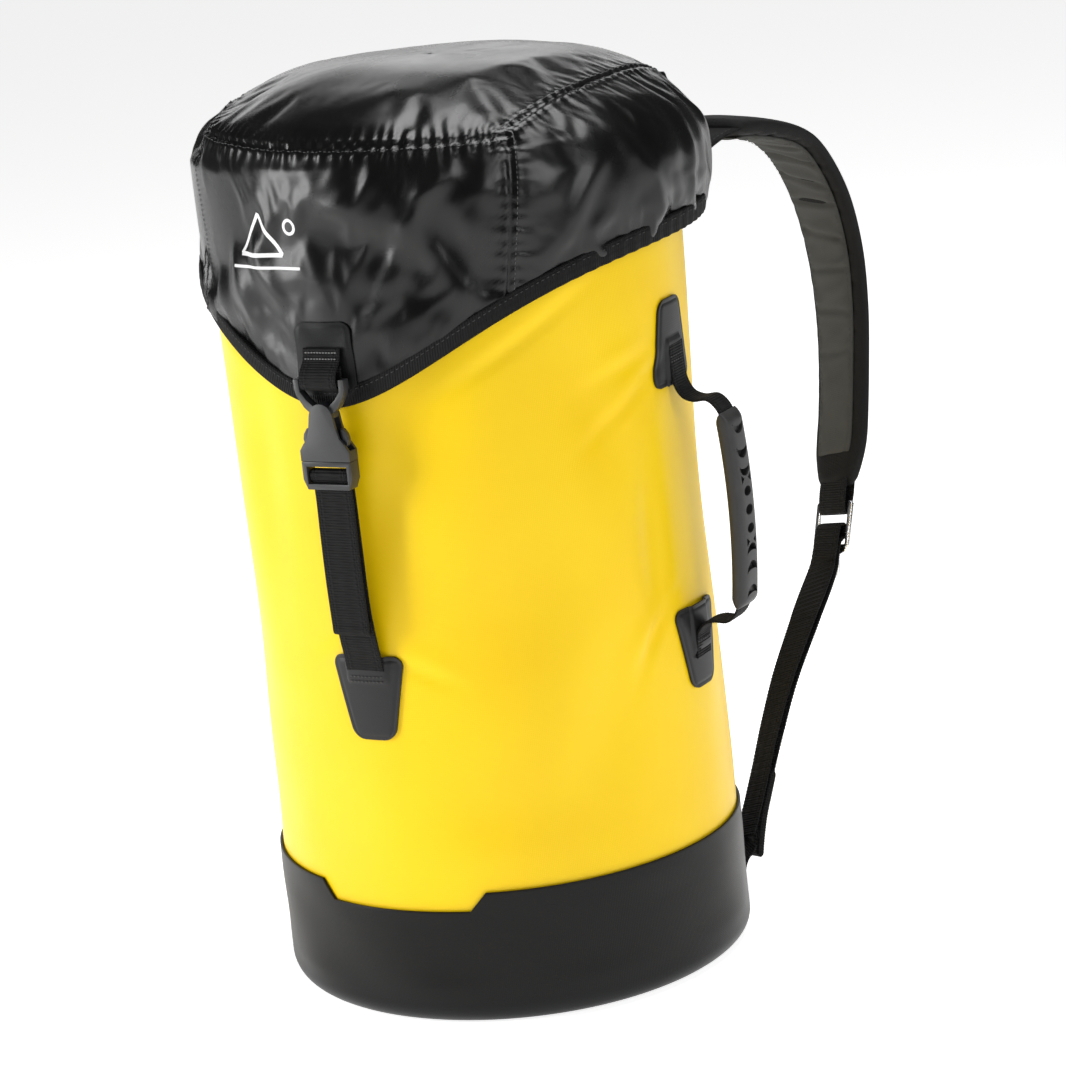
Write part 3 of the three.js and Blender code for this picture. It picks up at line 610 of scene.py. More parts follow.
def front_seam(count=160):
    angle = np.linspace(-CORNER_TURN, CORNER_TURN, count)
    return angle, SEAM_FRONT_RUN + 3.0 * angle / CORNER_TURN


def back_seam(count=160):
    return np.linspace(180 - CORNER_TURN, 180 + CORNER_TURN, count), np.full(count, SEAM_FRONT_RUN)


def shoulder_seam(side, count=200):
    """From the front corner over the crown to the back corner, bowed outwards."""
    t = np.linspace(-1, 1, count)
    corner = np.interp(SEAM_FRONT_RUN, dome_run, dome_r)
    half = corner * math.sin(math.radians(CORNER_TURN))
    x = half + 13.0 * (1 - t ** 2)
    y = t * corner * math.cos(math.radians(CORNER_TURN))
    return side * np.degrees(np.arctan2(x, -y)), np.interp(np.hypot(x, y), dome_r, dome_run)


def drop_seam(side, back, count=120):
    t = np.linspace(0, 1, count)
    angle = lerp(CORNER_TURN, CORNER_FOOT, t)
    angle = side * (180 - angle if back else angle)
    return angle, lerp(SEAM_FRONT_RUN + 2.0, full_run(angle) - 2, t)


SEAMS = {"front": front_seam(), "back": back_seam()}
for word, side in (("right", 1), ("left", -1)):
    SEAMS["shoulder_" + word] = shoulder_seam(side)
    SEAMS["drop_" + word] = drop_seam(side, False)
    SEAMS["drop_back_" + word] = drop_seam(side, True)


def near_seams(points):
    """For each seam, how far every point is from it and where along it, in mm."""
    found = {}
    for name, (angle, run) in SEAMS.items():
        line, _ = lid_frame(angle, run)
        along = np.concatenate([[0], np.cumsum(np.linalg.norm(np.diff(line, axis=0), axis=1))])
        tree = KDTree(len(line))
        for i, p in enumerate(line):
            tree.insert(p, i)
        tree.balance()
        hits = [tree.find(p)[1:] for p in points]
        found[name] = (np.array([h[1] for h in hits]), along[[h[0] for h in hits]])
    return found


# %% [markdown]
# ## Folds of the lid
# Thin coated cloth buckles: short puckers stand along every seam, the elastic in the side and back hem
# gathers the skirt into loops, and long soft folds cross the front. A cloth simulation with a little
# spare cloth gives the unplanned part, and these functions add the planned part on a finer grid.

# %% Folds
def noisy(points, size, seed):
    offset = Vector((seed * 17.3, seed * 5.1, seed * 9.7))
    return np.array([noise.noise(Vector(p) / size + offset) for p in points])


# Long folds: angle, height, half length, half width, lean in radians and height of the ridge.
LONG_FOLDS = [(22, 470, 46, 7, 0.9, 2.4), (34, 450, 52, 8, 1.15, 2.6), (8, 492, 30, 6, 0.5, 1.3),
              (-26, 452, 55, 9, -1.0, 2.6), (-38, 480, 50, 8, -1.25, 3.0), (14, 432, 40, 7, 0.95, 1.9),
              (-12, 440, 44, 7, -0.95, 1.6), (28, 494, 22, 5, 0.2, 1.4), (-44, 440, 46, 8, -0.9, 2.4),
              (62, 476, 26, 6, 1.1, 2.4), (78, 480, 30, 7, 1.9, 2.6), (97, 486, 26, 7, 1.3, 2.4),
              (-64, 492, 40, 9, -1.2, 3.2), (-80, 484, 44, 9, -1.6, 3.2), (-100, 490, 40, 9, -1.4, 3.0),
              (116, 486, 34, 8, 1.5, 2.0)]


def folds(points, angle, run):
    """Height of the planned folds over the even lid, in mm."""
    turned = wrapped(angle)
    z = points[:, 2]
    rise = full_run(angle) - run  # distance above the hem along the cloth
    out = np.zeros(len(points))
    for at, height, long, wide, slope, tall in LONG_FOLDS:
        away, up_by = (turned - at) * LID_ARC, z - height
        along = away * math.cos(slope) + up_by * math.sin(slope)
        side = up_by * math.cos(slope) - away * math.sin(slope) + 4 * np.sin(along / 21 + at)
        ends = np.exp(-(along / long) ** 4)
        beside = np.exp(-((np.abs(side) - 1.6 * wide) / wide) ** 2)
        out += 0.62 * tall * ends * (np.exp(-(side / wide) ** 2) - 0.55 * beside)
    # Gathers of the elastic hem: many small loops at the hem that join into fewer folds above it.
    from_front = np.abs(turned)
    elastic = smooth(ramp(from_front, 44, 66)) * (1 - 0.5 * smooth(ramp(from_front, 140, 160)))
    wander = 2.2 * noisy(points, 26, 3)
    small = np.sin(turned * LID_ARC / 10.5 * math.pi + wander * 1.5) * np.exp(-rise / 11)
    large = (np.sin(turned * LID_ARC / 21.0 * math.pi + 1.6 * wander + rise / 16)
             * np.exp(-((rise - 12) / 17) ** 2))
    broad = 0.5 + 0.5 * noisy(points, 30, 8)
    gathers = 1.3 * small + 3.2 * broad * np.sign(large) * np.abs(large) ** 1.4
    out += elastic * gathers * smooth(ramp(rise, 0, 7))
    # Slow unevenness of the crown, deeper towards the left shoulder.
    calm = smooth(ramp(run, 0, 60))
    left_part = np.clip(-points[:, 0] / 140, 0, 1)
    out += ((0.6 + 1.2 * left_part) * noisy(points, 55, 5) * 2.4 - 0.8 * left_part) * calm
    for index, (name, (near, along)) in enumerate(near_seams(points).items()):
        phase = index * 1.7
        beat = noisy(np.stack([along, np.full(len(along), 40.0 * index), 0 * along], -1), 15, 2)
        reach = 6 + 5 * np.clip(beat + 0.5, 0, 1.2)
        tall = 1.0 if name == "front" else 0.45
        waves = np.sin(along * 2 * math.pi / 7.6 + 3.4 * beat + phase)
        out += tall * waves * np.exp(-(near / reach) ** 2) * smooth(near / 2.5)
        out += 0.7 * np.exp(-((near - 3.0) / 1.8) ** 2) - 1.1 * np.exp(-(near / 1.2) ** 2)
    return out


# %% [markdown]
# ## Lid cloth
# The coarse grid is simulated with 1.4 per cent more cloth than the shape needs, held at the hem and the
# seams, and pushed out by a low pressure. No point may move more than 5 mm. The result is carried over
# to a grid twice as fine.

# %% Lid
def square_to_disc(a, b):
    """Spreads the square from -1 to 1 over the unit disc: shares of the radius, and angles."""
    wide = np.abs(a) > np.abs(b)
    big = np.where(wide, a, b)
    small = np.where(wide, b, a)
    turn = np.where(wide, 0.0, 90.0) + np.where(wide, 1, -1) * 45 * small / np.where(big == 0, 1, big)
    return np.abs(big), turn + np.where(big < 0, 180.0, 0.0)


def lid_places(u, v):
    share, turn = square_to_disc(2 * u - 1, 2 * v - 1)
    angle = turn + 90  # the square's x axis points to the bag's right-hand side
    return angle, share * full_run(angle)


def even_lid(u, v, off=0.0):
    point, normal = lid_frame(*lid_places(u, v))
    return point + normal * off


def held_weight(u, v):
    angle, run = lid_places(u, v)
    point, _ = lid_frame(angle, run)
    rise = full_run(angle) - run
    weight = 1 - smooth(ramp(rise, 3, 12))
    for near, _ in near_seams(point).values():
        weight = np.maximum(weight, 0.7 * np.exp(-(near / 4) ** 2))
    patch_near = np.hypot(wrapped(angle), (point[:, 2] - 398) / LID_ARC)
    return np.clip(np.maximum(weight, 1 - smooth(ramp(patch_near, 9, 14))), 0, 1)


def settle(cells, spare=0.014, pressure=0.3, cap=5.0):
    """Simulates the lid cloth; returns how far each grid point moved, in mm."""
    sheet = grid("lid_trial", (cells, cells), even_lid, 500, 500)
    flat = np.array([corner.co[:] for corner in sheet.data.vertices])
    order = np.indices((cells + 1, cells + 1)).reshape(2, -1)
    u, v = order[1] / cells, order[0] / cells
    assert np.allclose(flat, even_lid(u, v) * MM, atol=1e-5)
    group = sheet.vertex_groups.new(name="held")
    for i, weight in enumerate(held_weight(u, v)):
        group.add([i], float(weight), "REPLACE")
    cloth = sheet.modifiers.new("cloth", "CLOTH")
    cloth.settings.quality = 5
    cloth.settings.mass = 0.2
    cloth.settings.tension_stiffness = cloth.settings.compression_stiffness = 12
    cloth.settings.shear_stiffness = 4
    cloth.settings.bending_stiffness = 0.25
    cloth.settings.vertex_group_mass = "held"
    cloth.settings.shrink_min = -spare
    cloth.settings.use_pressure = True
    cloth.settings.uniform_pressure_force = pressure
    cloth.settings.effector_weights.gravity = 0
    cloth.collision_settings.use_collision = False
    for frame_number in range(1, 21):
        bpy.context.scene.frame_set(frame_number)
    shaped = sheet.evaluated_get(bpy.context.evaluated_depsgraph_get()).to_mesh()
    after = np.empty(flat.size)
    shaped.vertices.foreach_get("co", after)
    moved = (after.reshape(-1, 3) - flat) / MM
    bpy.context.scene.frame_set(1)
    bpy.data.objects.remove(sheet, do_unlink=True)
    size = np.linalg.norm(moved, axis=1, keepdims=True)
    print("lid cloth moved", round(float(size.mean()), 2), "mm, at most", round(float(size.max()), 1))
    moved = moved * np.minimum(1, cap / np.maximum(size, 1e-9))
    return moved.reshape(cells + 1, cells + 1, 3)


def finer(field):
    """The same field on a grid twice as fine."""
    for axis in (0, 1):
        low = np.take(field, range(field.shape[axis] - 1), axis)
        high = np.take(field, range(1, field.shape[axis]), axis)
        count = field.shape[axis] * 2 - 1
        shape = list(field.shape)
        shape[axis] = count
        wider = np.empty(shape)
        even, odd = [slice(None)] * field.ndim, [slice(None)] * field.ndim
        even[axis], odd[axis] = slice(0, None, 2), slice(1, None, 2)
        wider[tuple(even)], wider[tuple(odd)] = field, (low + high) / 2
        field = wider
    return field


LID_CELLS = 138
creep = settle(LID_CELLS)
creep_fine = finer(creep)
for _ in range(5):
    creep_fine[1:-1, 1:-1] = (creep_fine[1:-1, 1:-1] * 4 + creep_fine[:-2, 1:-1] + creep_fine[2:, 1:-1]
                              + creep_fine[1:-1, :-2] + creep_fine[1:-1, 2:]) / 8


def outside_tube(points, least):
    """Moves points out, softly, to at least `least` mm off the tube as far up as its rim."""
    turned, z = np.degrees(np.arctan2(points[:, 0], -points[:, 1])), points[:, 2]
    bare = round_bag(turned, BAG_R + swell(turned, z), z)
    radius = np.hypot(points[:, 0], points[:, 1])
    short = np.hypot(bare[:, 0], bare[:, 1]) + least - radius
    push = np.log1p(np.exp(np.clip(short / 0.7, -30, 30))) * 0.7 * (1 - smooth(ramp(z, 501, 510)))
    return points + points * [1, 1, 0] * (push / np.maximum(radius, 1))[:, None]


def lid_shape(u, v):
    fine = 2 * LID_CELLS
    angle, run = lid_places(u, v)
    point, normal = lid_frame(angle, run)
    near_hem = smooth(ramp(full_run(angle) - run, 0, 4))
    shift = creep_fine[np.rint(v * fine).astype(int), np.rint(u * fine).astype(int)]
    return outside_tube(point + shift + normal * (folds(point, angle, run) * near_hem)[:, None], 3.4)


lid = grid("lid_cloth_shell", (2 * LID_CELLS, 2 * LID_CELLS), lid_shape, 500, 500)
polish(lid, "lid_cloth", "lid",
       ["lid_front", "lid_back", "lid_side_right", "lid_side_left", "lid_crown"], 60)


def lining_shape(u, v):
    shift = creep[np.rint(v * LID_CELLS).astype(int), np.rint(u * LID_CELLS).astype(int)]
    return outside_tube(even_lid(u, v, -2.6) + 0.9 * shift, 2.6)


lid_lining = grid("lid_inside", (LID_CELLS, LID_CELLS), lining_shape, 500, 500)
modify(lid_lining, "SOLIDIFY", thickness=0.5 * MM, offset=-1)
polish(lid_lining, "lid_cloth", "lid")
print("lid:", len(lid.data.polygons), "faces, box", [round(d, 3) for d in lid.dimensions])

# %% [markdown]
# ## Hem tape
# A folded tape binds the hem. It is a ring with a rounded flat section that follows the hem's height
# and the lid's lean, so one closed grid makes it.

# %% Hem tape
def squared(wave, power):
    """A sine or cosine turned into a squarer wave; a circle of such waves is a rounded oblong."""
    return np.sign(wave) * np.abs(wave) ** (2 / power)


def tape_section(v, half_thick, half_wide):
    """A rounded flat section: distances out and up for v once round."""
    turn = 2 * math.pi * v
    return half_thick * squared(np.cos(turn), 5.0), half_wide * squared(np.sin(turn), 5.0)


def tape_clear(point, normal):
    """Keeps the tape's inner side, 3 mm inside its points, off the tube."""
    return outside_tube(point - normal * 3.0, 0.4) + normal * 3.0


def hem_tape(u, v):
    angle = 360 * u - 180
    out, rise = tape_section(v, 2.2, 5.8)
    elastic = smooth(ramp(np.abs(angle), 44, 66))
    out = out + 0.5 * elastic * np.sin(angle * LID_ARC / 5.0 * math.pi)
    z = hem_z(angle) + 5.4 + rise
    point, normal = lid_frame(angle, full_run(angle) - 5.4 - rise)
    return tape_clear(point, normal) + normal * (out - 0.8)[:, None]


hem = grid("lid_hem_binding", (420, 20), hem_tape, 1000, 28, closed=True)
outward(hem)
polish(hem, "webbing", "lid", ["lid_hem_tape"], 50)

# %% [markdown]
# ## Pieces that lie on cloth
# Patches, tapes and stitches have to follow the wall or the lid as it really lies. A ray from outside
# towards the bag's axis finds the surface, and a piece is laid a fraction of a millimetre over it.

# %% Laying helpers
def surface_of(obj):
    return BVHTree.FromObject(obj, bpy.context.evaluated_depsgraph_get())


def laid(tree, angle, z, off, fallback=BAG_R):
    """Points `off` mm outside the surface at angles and heights."""
    out = []
    for a, h, o in zip(*(c.ravel() for c in np.broadcast_arrays(angle, z, off))):
        start = Vector(round_bag(a, 230.0, h)) * MM
        aim_in = Vector((0, 0, start.z)) - start
        hit, _, _, _ = tree.ray_cast(start, aim_in.normalized())
        there = hit / MM if hit else Vector(round_bag(a, fallback, h))
        out.append(there - aim_in.normalized() * o)
    return np.array(out)


def stitches(name, points, facing, body, thick=0.42, share=0.62, pitch=2.8, look=None):
    """A row of small rounded threads along a line of points, standing on the side it faces.

    thick is the thread's width in mm, pitch the stitches' distance, share how much of it each fills.
    """
    points, facing = np.asarray(points, float), np.asarray(facing, float)
    run = np.concatenate([[0], np.cumsum(np.linalg.norm(np.diff(points, axis=0), axis=1))])
    count = max(2, int(run[-1] / pitch))
    ring = [(math.cos(t), math.sin(t)) for t in np.linspace(0, 2 * math.pi, 6, endpoint=False)]
    verts, faces = [], []
    for i in range(count):
        ends = [np.array([np.interp((i + 0.5 + s * share / 2) * run[-1] / count, run, points[:, k])
                          for k in range(3)]) for s in (-1, 1)]
        face = np.array([np.interp((i + 0.5) * run[-1] / count, run, facing[:, k]) for k in range(3)])
        along = ends[1] - ends[0]
        side = np.cross(along, face)
        side /= max(np.linalg.norm(side), 1e-9)
        first = len(verts)
        for step, fat in ((0, 0.35), (0.2, 1.0), (0.8, 1.0), (1.0, 0.35)):
            middle = ends[0] + along * step + face * (0.15 if 0 < step < 1 else -0.2)
            verts += [middle + (side * c + face * s * 0.7) * thick / 2 * fat for c, s in ring]
        for r in range(3):
            for k in range(6):
                a, b = first + r * 6 + k, first + r * 6 + (k + 1) % 6
                faces.append((a, b, b + 6, a + 6))
        faces += [tuple(first + k for k in range(5, -1, -1)), tuple(first + 18 + k for k in range(6))]
    return polish(from_faces(name, verts, faces), "webbing", body, look=look or thread_finish)


TUBE, LID = surface_of(tube), surface_of(lid)

# %% [markdown]
# ## Stitches of the lid
# Each seam of the lid is topstitched 3 mm to one side, and the hem tape near its upper edge. The thread
# is slightly lighter than the cloth, and without it the panels read as one moulded cap.

# %% Lid stitching
def lid_row(name, angle, run, aside, **more):
    """Stitches on the lid along a line, moved `aside` mm to its left."""
    point, normal = lid_frame(angle, run)
    along = np.gradient(point, axis=0)
    side = np.cross(normal, along)
    side /= np.linalg.norm(side, axis=1, keepdims=True)
    out = []
    for p, n in zip(point + side * aside, normal):
        start = Vector(p + n * 30) * MM
        hit, _, _, _ = LID.ray_cast(start, Vector(-n))
        out.append(np.array(hit / MM if hit else p) + n * 0.1)
    stitches(name, out, normal, "lid", **more)


seam_thread = moulded("seam_thread", grey(0.06), 0.5, 0.02 * MM, grey(0.09))
for name, (angle, run) in SEAMS.items():
    lid_row("lid_stitch_" + name, angle, run, 3.0 if name != "front" else -2.6, look=seam_thread)
around = np.linspace(-180, 180, 500)
tape_line, tape_out = lid_frame(around, full_run(around) - 8.6)
tape_line = tape_clear(tape_line, tape_out)
stitches("hem_stitches", tape_line + tape_out * 1.35, tape_out, "lid", pitch=3.4)

# %% [markdown]
# ## Webbing
# Webbing is swept along a route: a flat section with rounded edges moves along a smooth curve through
# given points. Its ribs are raised in the mesh as well, because they show at the edges. The UV map
# runs in metres along and across it.

# %% Webbing helpers
def mixed(low, high, start, end, t):
    """The point between low (at start) and high (at end) at t."""
    return ((end - t) * low + (t - start) * high) / (end - start)


def smooth_route(points, step=1.2):
    """A Catmull-Rom curve through the points (mm), cut into even steps."""
    p = np.asarray(points, float)
    p = np.vstack([2 * p[0] - p[1], p, 2 * p[-1] - p[-2]])
    out = []
    for i in range(1, len(p) - 2):
        a, b, c, d = p[i - 1:i + 3]
        knots = [0.0]
        for one, two in ((a, b), (b, c), (c, d)):
            knots.append(knots[-1] + max(np.linalg.norm(two - one), 1e-6) ** 0.5)
        for t in np.linspace(knots[1], knots[2], 24, endpoint=False):
            ab, bc = mixed(a, b, *knots[0:2], t), mixed(b, c, *knots[1:3], t)
            cd = mixed(c, d, *knots[2:4], t)
            abc, bcd = mixed(ab, bc, *knots[0:3:2], t), mixed(bc, cd, *knots[1:4:2], t)
            out.append(mixed(abc, bcd, *knots[1:3], t))
    out = np.array(out + [p[-2]])
    run = np.concatenate([[0], np.cumsum(np.linalg.norm(np.diff(out, axis=0), axis=1))])
    count = max(4, int(run[-1] / step))
    even = np.linspace(0, run[-1], count + 1)
    return np.stack([np.interp(even, run, out[:, k]) for k in range(3)], -1), run[-1]


def frames(route, across):
    """Side and face directions at each point; across is a direction or a function of the share."""
    along = np.gradient(route, axis=0)
    along /= np.linalg.norm(along, axis=1, keepdims=True)
    share = np.linspace(0, 1, len(route))
    side = np.array([across(t) if callable(across) else across for t in share], float)
    side = side - along * np.sum(side * along, axis=1, keepdims=True)
    side /= np.linalg.norm(side, axis=1, keepdims=True)
    return side, np.cross(along, side)


def band(name, points, across, width, thick, rib=0.12, rib_pitch=1.6, step=0.8, offset=0.0, cells=16,
         power=6.0, relief=None, share=(0, 1)):
    """A strap of rounded section along a route, closed at both ends.

    width may be a function of the share of the length. rib is the ribs' height, offset moves the strap
    out along its face, power squares its section, relief shapes its faces, share picks a part of it.
    """
    route, long = smooth_route(points, step)
    side, face = frames(route, across)
    first, last = (int(round(s * (len(route) - 1))) for s in share)
    route, side, face = route[first:last + 1], side[first:last + 1], face[first:last + 1]
    long = long * (share[1] - share[0])
    count = len(route) - 1
    widths = np.array([width(t) if callable(width) else width for t in np.linspace(0, 1, count + 1)])

    def place(u, v):
        i = np.rint(u * count).astype(int)
        turn = 2 * math.pi * v
        end = np.minimum(u, 1 - u) * long
        close = np.sqrt(np.clip(end / (thick * 0.5), 0, 1))
        out = squared(np.sin(turn), power) * thick / 2 * close
        wide = squared(np.cos(turn), power) * (widths[i] / 2)
        ribs = rib * np.sin(2 * math.pi * u * long / rib_pitch)
        out = out + ribs * np.sign(out) * (np.abs(np.cos(turn)) < 0.99)
        if relief:
            out = out + relief(u, np.cos(turn), np.sign(np.sin(turn)))
        return route[i] + side[i] * wide[:, None] + face[i] * (out + offset)[:, None]

    middle = width(0.5) if callable(width) else width
    made = grid(name, (count, 2 * cells), place, long, 2 * middle, closed=True)
    outward(made)
    return made


X_AXIS, Y_AXIS = np.array([1.0, 0, 0]), np.array([0, 1.0, 0])
WEB = 1.6

# %% [markdown]
# ## Front strap and lid tab
# The strap is sewn under the front patch, rises to the clip, turns round its bar and hangs its folded
# tail in front. The tab is sewn on the lid's patch and turns round the socket's bar. Both routes are
# the CAD's own.

# %% Front webbing
BUCKLE_Y, LADDER_BAR_Z = -154.5, 335.5
BAR_WRAP = 2.9  # from the middle of a bar to the middle of the webbing round it
wrap = [(0, BUCKLE_Y + BAR_WRAP * math.cos(t), LADDER_BAR_Z + BAR_WRAP * math.sin(t))
        for t in np.linspace(0, math.pi, 7)]
strap_points = [(0, -143.2, 217), (0, -144.4, 225), (0, -146.8, 236), (0, -149.6, 256),
                (0, -150.6, 290), (0, BUCKLE_Y + 3.3, 320), (0, BUCKLE_Y + BAR_WRAP, 330), *wrap,
                (0, BUCKLE_Y - 2.3, LADDER_BAR_Z - 2.5), (0, BUCKLE_Y - 0.2, LADDER_BAR_Z - 6),
                (0, BUCKLE_Y + 0.4, LADDER_BAR_Z - 12), (0, -154.2, 300), (0, -154, 272),
                (0, -152.8, 246)]
front_strap = band("front_strap_webbing", strap_points, X_AXIS, 24.5, WEB)
polish(front_strap, "webbing", "front_strap", ["front_strap"], 50)
tail_end = [(0, -152.9, 247), (0, -152.7, 243), (0, -151.9, 241.4), (0, -150.9, 242.4),
            (0, -150.9, 249)]
polish(band("front_strap_folded_end", tail_end, X_AXIS, 24.4, WEB), "webbing", "front_strap", angle=50)
back = BUCKLE_Y + 3.2
tab_points = [(0, -149.7, 407), (0, -151.6, 400), (0, BUCKLE_Y - 2.6, 393), (0, BUCKLE_Y - 3.2, 388),
              (0, BUCKLE_Y - 2.2, 385.6), (0, BUCKLE_Y, 384.7), (0, BUCKLE_Y + 2.2, 385.6),
              (0, back, 388), (0, back, 392), (0, back + 0.6, 397)]
polish(band("lid_tab_webbing", tab_points, X_AXIS, 24, WEB), "webbing", "lid", ["lid_tab"], 50)
pale_thread = moulded("pale_thread", grey(0.16), 0.6, 0.02 * MM, grey(0.2))
for i, (y, z) in enumerate(((-151.3, 404.6), (-152.2, 401.2))):
    row = [(x, y, z) for x in np.linspace(-10.5, 10.5, 12)]
    stitches(f"tab_stitches_{i}", row, np.tile([0, -1.0, 0], (12, 1)), "lid", thick=0.8, share=0.75,
             pitch=1.9, look=pale_thread)

# %% [markdown]
# ## Welded patches
# Each handle or strap end is trapped under a trapezoid of grey coated cloth with rounded corners, welded
# flat to the wall. The weld leaves a thin flange all round and a raised middle where the webbing lies.

# %% Patches
PATCH_R = BAG_R + 2


def rounded_in(near, corner):
    """How far a rounded corner pulls a side in, at a distance from the nearer end."""
    near = np.clip(near, 0, corner)
    return corner - np.sqrt(np.maximum(corner ** 2 - (corner - near) ** 2, 0))


def welded_patch(name, node_name, tree, angle, wide_z, run, long, wide, narrow, lump, base_off=0.35,
                 thick=1.3, corner=7.0):
    """A patch whose wide end is at wide_z and that runs up (1) or down (-1); lump raises its middle."""
    def place(u, v):
        along = (0.5 - 0.5 * np.cos(math.pi * v)) * long
        near = np.minimum(along, long - along)
        half = lerp(wide, narrow, along / long) / 2 - rounded_in(near, corner)
        across = (2 * u - 1) * half
        edge = np.minimum(half - np.abs(across), near)
        flange = smooth(ramp(edge, 2.2, 4.2)) * 0.35 - 0.25 * np.exp(-((edge - 2.4) / 0.8) ** 2)
        high = lump(across, along) + flange
        z = wide_z + run * along
        return laid(tree, angle + np.degrees(across / PATCH_R), z, base_off + high)

    made = grid(name, (44, 56), place, wide, long)
    outward(made)
    thicken(made, thick, out=outer_side(middle_face(made), angle), edge=0.3)
    return polish(made, "patch", "bag", [node_name], 50)


def strap_lump(half_wide, reach):
    """The bulge of a strap end under the patch: half_wide across, up to `reach` from the wide end."""
    def lump(across, along):
        side = smooth(ramp(half_wide + 1.5 - np.abs(across), 0, 2.2))
        return 1.5 * side * (1 - smooth(ramp(along, reach - 2, reach + 2)))
    return lump


def wall_row(name, at, z, off, **more):
    """Stitches along the tube's wall at angles `at` and one height, `off` mm out."""
    stitches(name, laid(TUBE, at, z, off), round_bag(at, 1.0, 0.0), "bag", **more)


# Each patch: name, node, angle, height of its wide end, way it runs, the lump's half width and reach.
for name, node_name, angle, wide_z, run, half_wide, reach in (
        ("front_patch_cloth", "front_patch", 0, 225, -1, 12.5, 15),
        ("handle_patch_top", "handle_patch_upper", 90, 354, 1, 9, 26),
        ("handle_patch_low", "handle_patch_lower", 90, 222, -1, 9, 28)):
    welded_patch(name, node_name, TUBE, angle, wide_z, run, 50, 48, 27, strap_lump(half_wide, reach))
for name, angle, half, heights in (("front_patch", 0, 11, (213.5, 210.5)),
                                   ("handle_top", 90, 8.5, (370.5, 367.5)),
                                   ("handle_low", 90, 8.5, (203.5, 200.5))):
    for i, z in enumerate(heights):
        at = angle + np.degrees(np.linspace(-half, half, 14) / PATCH_R)
        wall_row(f"{name}_stitches_{i}", at, z, 3.7, thick=0.9, share=0.7, pitch=2.4)

LID_PATCH_LOW, LID_PATCH_TOP = 379.5, 421


def lid_patch(u, v):
    z = lerp(LID_PATCH_LOW, LID_PATCH_TOP, 0.5 - 0.5 * np.cos(math.pi * v))
    near = np.minimum(z - LID_PATCH_LOW, LID_PATCH_TOP - z)
    half = lerp(19.5, 18, v) - rounded_in(near, 6.0) * (z > 400)
    across = (2 * u - 1) * half
    edge = np.minimum(half - np.abs(across), near)
    return laid(LID, np.degrees(across / 149), z, 0.25 + 0.3 * smooth(ramp(edge, 1.5, 3)), LID_R)


patch_lid = grid("lid_patch_cloth", (36, 40), lid_patch, 38, 42)
outward(patch_lid)
thicken(patch_lid, 0.9, out=outer_side(patch_lid.data.polygons[700], 0), edge=0.25)
polish(patch_lid, "patch", "lid", ["lid_patch"], 50, look=LOOKS["base_cloth"])

# %% [markdown]
# ## Side handle
# One length of webbing runs from under the upper patch, through the grip, to under the lower patch. It
# bends where it leaves the wall, and it is attached to no body.

# %% Handle webbing
GRIP_TOP, GRIP_LOW, GRIP_MIDDLE, GRIP_HALF = 338.0, 221.0, 279.5, 58.5


def bow(z):
    return 174.6 - 3.6 * ((z - GRIP_MIDDLE) / GRIP_HALF) ** 2


held = [(bow(z), 0, z) for z in (338, 322, 300, 280, 260, 238, 221)]
handle_points = [(142.6, 0, 378), (142.8, 0, 366), (144.2, 0, 354), (148.6, 0, 347.2), (155, 0, 345),
                 (164, 0, 345.4), *held, (164, 0, 213.5), (155, 0, 213.2), (148.6, 0, 211.0),
                 (144.2, 0, 205.5), (142.8, 0, 197), (142.6, 0, 190)]
handle_web = band("handle_webbing_loop", handle_points, Y_AXIS, 17.6, WEB)
polish(handle_web, "webbing", None,
       ["handle_webbing", "handle_anchor_upper", "handle_anchor_lower"], 50)
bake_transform(handle_web)

# %% [markdown]
# The grip is moulded rubber, bowed outwards, with a row of shallow cut-outs down its outer face: a deep
# scoop at each end, curved slots, pairs of triangles and three ovals. They are cut with one boolean.

# %% Grip
def extruded(name, outlines, x_low, x_high):
    """Prisms along X from outlines of (y, z), in one mesh."""
    verts, faces = [], []
    for outline in outlines:
        first, count = len(verts), len(outline)
        verts += [(x, y, z) for x in (x_low, x_high) for y, z in outline]
        faces += [tuple(range(first, first + count)),
                  tuple(range(first + 2 * count - 1, first + count - 1, -1))]
        for k in range(count):
            near, far = first + k, first + (k + 1) % count
            faces.append((near, far, far + count, near + count))
    return from_faces(name, verts, faces)


def crescent(z, wide, deep, way):
    """A curved slot whose horns point up (way 1) or down (-1)."""
    turn = np.linspace(0, math.pi, 13)
    low = [(wide * math.cos(t), z - way * deep * math.sin(t)) for t in turn]
    high = [(wide * 0.98 * math.cos(t), z - way * deep * 0.36 * math.sin(t) + way * 0.4)
            for t in turn[::-1]]
    return low + high


def oval(z, wide, tall):
    turn = np.linspace(0, 2 * math.pi, 20, endpoint=False)
    return [(wide * math.cos(t), z + tall * math.sin(t)) for t in turn]


def triangles(z):
    return [[(s * 2.2, z), (s * 5.6, z + 2.6), (s * 5.6, z - 2.6)] for s in (-1, 1)]


